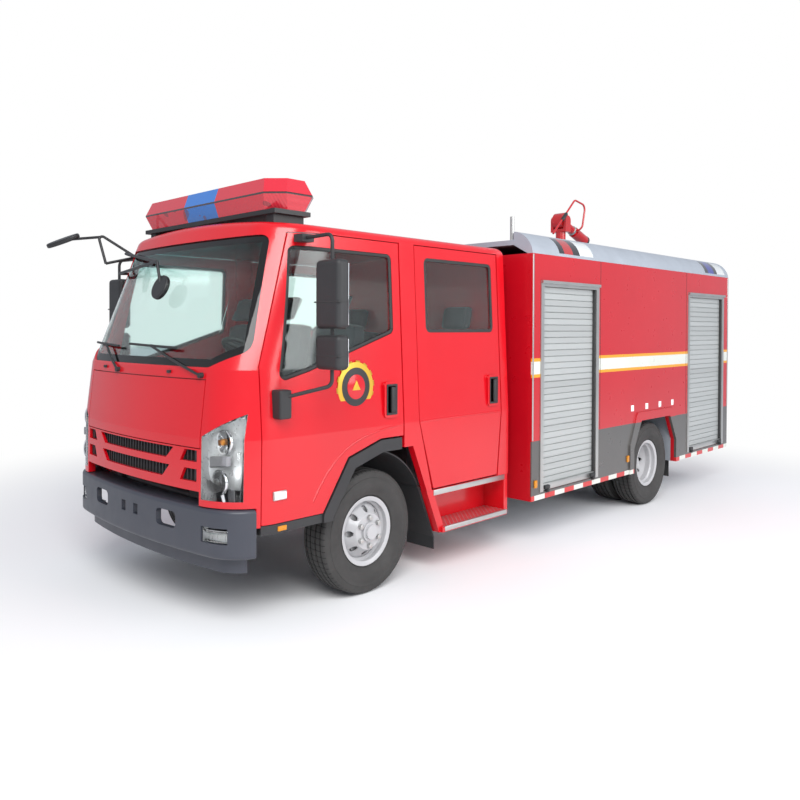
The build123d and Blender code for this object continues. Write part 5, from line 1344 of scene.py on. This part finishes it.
@dataclass
class MonitorTrim:
    """The monitor's black grip and its two rings, each at a reach along the barrel."""

    bench: Bench
    pivot: Point = (-1.67, 0.0, 2.89)
    droop: float = radians(19)
    rings: tuple[tuple[str, float, float, Finish], ...] = (
        ("nozzle_ring", 0.540, 0.061, Finish.PLASTIC), ("barrel_ring", 0.250, 0.052, Finish.STEEL),
    )
    ring_depth: float = 0.030
    grip_offset: Point = (0.13, 0.116, 0.02)
    grip_size: Span = (0.019, 0.12)
    grip_turn: float = radians(42.4)

    def build(self) -> None:
        """Build the trim along the barrel."""
        x, _, z = self.pivot
        for name, reach, radius, finish in self.rings:
            centre = (x - reach, 0, z)
            ring = self.bench.drum(
                "monitor_" + name, centre, radius, self.ring_depth, Axis.X, 32, 0.005
            )
            self.bench.turn(ring, -self.droop, self.pivot)
            self.bench.hang(ring, "barrel", finish)
        centre = tuple(a + b for a, b in zip(self.pivot, self.grip_offset))
        grip = self.bench.drum("monitor_grip", centre, *self.grip_size, Axis.X, 24, 0.006)
        self.bench.turn(grip, self.grip_turn, centre)
        self.bench.hang(grip, "barrel", Finish.PLASTIC)


@dataclass
class Studio:
    """The floor, the light and the camera."""

    eye: Point = (5.797, 4.339, 1.717)
    heading: float = radians(226.287)
    pitch: float = radians(-0.875)
    roll: float = radians(0.15)
    lens: float = 34.23
    sensor: float = 36.0
    shift: Span = (0.075, -0.075)
    far: float = 200.0
    floor_size: float = 120.0
    floor_colour: Colour = (0.92, 0.92, 0.92)
    floor_roughness: float = 0.9
    white_floor: Span = (3.0, 6.5)
    soft_sky: tuple[Colour, float] = ((0.86, 0.90, 1.0), 0.60)
    seen_sky: tuple[Colour, float] = ((1.0, 1.0, 1.0), 1.0)
    lamps: tuple[tuple[str, Point, float, float], ...] = (
        ("key", (7.5, 6.5, 8.0), 6.0, 900.0), ("side", (-2.0, 10.0, 5.0), 7.0, 550.0),
    )
    lit_point: Point = (0.0, 0.0, 1.0)

    def camera(self) -> None:
        """Place the camera at the photograph's viewpoint."""
        data = bpy.data.cameras.new("view")
        data.lens = self.lens
        data.sensor_width = self.sensor
        data.shift_x, data.shift_y = self.shift
        data.clip_end = self.far
        camera = bpy.data.objects.new("view", data)
        bpy.context.scene.collection.objects.link(camera)
        level = cos(self.pitch)
        look = Vector((level * cos(self.heading), level * sin(self.heading), sin(self.pitch)))
        turn = look.to_track_quat("-Z", "Y").to_matrix().to_4x4()
        roll = Matrix.Rotation(self.roll, 4, "Z")
        camera.matrix_world = Matrix.Translation(self.eye) @ turn @ roll
        bpy.context.scene.camera = camera

    def floor(self) -> None:
        """Lay the pale floor, which the camera sees as pure white further out."""
        bpy.ops.object.select_all(action="DESELECT")
        bpy.ops.mesh.primitive_plane_add(size=self.floor_size)
        floor = bpy.context.object
        floor.name = "floor"
        nodes = Nodes("floor_paint")
        nodes.put("Base Color", self.floor_colour)
        nodes.put("Roughness", self.floor_roughness)
        x, y, _ = nodes.axes()
        distance = nodes.sum("SQRT", nodes.sum("ADD", nodes.times(x, x), nodes.times(y, y)))
        edge = nodes.add("ShaderNodeMapRange", interpolation_type="SMOOTHSTEP")
        for limit, value in zip(("From Min", "From Max"), self.white_floor):
            edge.inputs[limit].default_value = value
        nodes.link(distance, edge.inputs["Value"])
        rays = nodes.add("ShaderNodeLightPath")
        white = nodes.add("ShaderNodeEmission")
        white.inputs["Color"].default_value = (1.0, 1.0, 1.0, 1.0)
        mix = nodes.add("ShaderNodeMixShader")
        share = nodes.times(edge.outputs[0], rays.outputs["Is Camera Ray"])
        for index, source in enumerate((share, nodes.shader.outputs[0], white.outputs[0])):
            nodes.link(source, mix.inputs[index])
        nodes.link(mix.outputs[0], nodes.tree.nodes["Material Output"].inputs[0])
        floor.data.materials.append(nodes.material)

    def sky(self) -> None:
        """Light the truck from a soft pale sky that is seen as pure white."""
        world = bpy.data.worlds.new("studio")
        bpy.context.scene.world = world
        world.use_nodes = True
        tree = world.node_tree
        tree.nodes.clear()
        rays = tree.nodes.new("ShaderNodeLightPath")
        most = tree.nodes.new("ShaderNodeMath")
        most.operation = "MAXIMUM"
        mix = tree.nodes.new("ShaderNodeMixShader")
        for index, ray in enumerate(("Is Camera Ray", "Is Transmission Ray")):
            tree.links.new(rays.outputs[ray], most.inputs[index])
        tree.links.new(most.outputs[0], mix.inputs[0])
        for index, (colour, strength) in enumerate((self.soft_sky, self.seen_sky), 1):
            light = tree.nodes.new("ShaderNodeBackground")
            light.inputs["Color"].default_value = (*colour, 1.0)
            light.inputs["Strength"].default_value = strength
            tree.links.new(light.outputs[0], mix.inputs[index])
        tree.links.new(mix.outputs[0], tree.nodes.new("ShaderNodeOutputWorld").inputs[0])

    def light(self) -> None:
        """Add the two large lamps."""
        for name, place, size, power in self.lamps:
            data = bpy.data.lights.new(name, "AREA")
            data.size = size
            data.energy = power
            lamp = bpy.data.objects.new(name, data)
            lamp.location = place
            aim = Vector(self.lit_point) - Vector(place)
            lamp.rotation_euler = aim.to_track_quat("-Z", "Y").to_euler()
            bpy.context.scene.collection.objects.link(lamp)
        bpy.context.scene.view_settings.view_transform = "Standard"

    def build(self) -> None:
        """Build the studio."""
        self.camera()
        self.floor()
        self.sky()
        self.light()


class FireTruck:
    """The whole truck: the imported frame's finishes and the added trim."""

    slots: dict[str, Finish] = {
        "cab_red": Finish.CAB_RED, "body_red": Finish.BODY_RED, "dark_grey_paint": Finish.GREY,
        "chassis_black": Finish.CHASSIS, "shutter_silver": Finish.SHUTTER,
        "body_aluminium": Finish.ALUMINIUM, "rim_silver": Finish.RIM,
        "black_plastic": Finish.PLASTIC, "cab_trim": Finish.TRIM, "seat_cloth": Finish.CLOTH,
        "glazing": Finish.GLASS, "lamp_clear": Finish.CLEAR, "lamp_red": Finish.BAR,
        "monitor_red": Finish.MONITOR, "bright_steel": Finish.STEEL, "rubber_black": Finish.RUBBER,
    }
    own: dict[str, Finish] = {
        "windscreen": Finish.SCREEN, "body_lamps": Finish.CORNER, "cab_steps": Finish.CAB_RED,
        "shutter_frames": Finish.STEEL, "tyre_front_left": Finish.TYRE_FRONT,
        "tyre_front_right": Finish.TYRE_FRONT, "tyres_rear_left": Finish.TYRE_REAR,
        "tyres_rear_right": Finish.TYRE_REAR,
    }
    trims = (CabTrim, Seats, WasherJets, Headlamps, Wheels, Body, MonitorTrim)

    def __init__(self, frame: dict) -> None:
        """Keep the frame and set up the bench."""
        self.frame = frame
        self.paints = Paintbox()
        self.bench = Bench(self.paints, frame["nodes"])

    def dress_nodes(self) -> None:
        """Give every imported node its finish."""
        named = {row["node"]: row["material_slot"] for row in self.frame["record"]["subparts"]}
        for name, node in self.frame["nodes"].items():
            finish = self.own.get(name) or self.slots[named[name]]
            self.paints.dress(node, finish)

    def build(self) -> None:
        """Dress the nodes and build each group of trim."""
        self.dress_nodes()
        for trim in self.trims:
            LOG.info("building %s", trim.__name__)
            trim(self.bench).build()


def main() -> None:
    """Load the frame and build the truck."""
    logging.basicConfig(level=logging.INFO, format="%(message)s")
    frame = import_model()
    Studio().build()
    FireTruck(frame).build()
    bpy.ops.object.select_all(action="DESELECT")


if __name__ == "__main__":
    main()
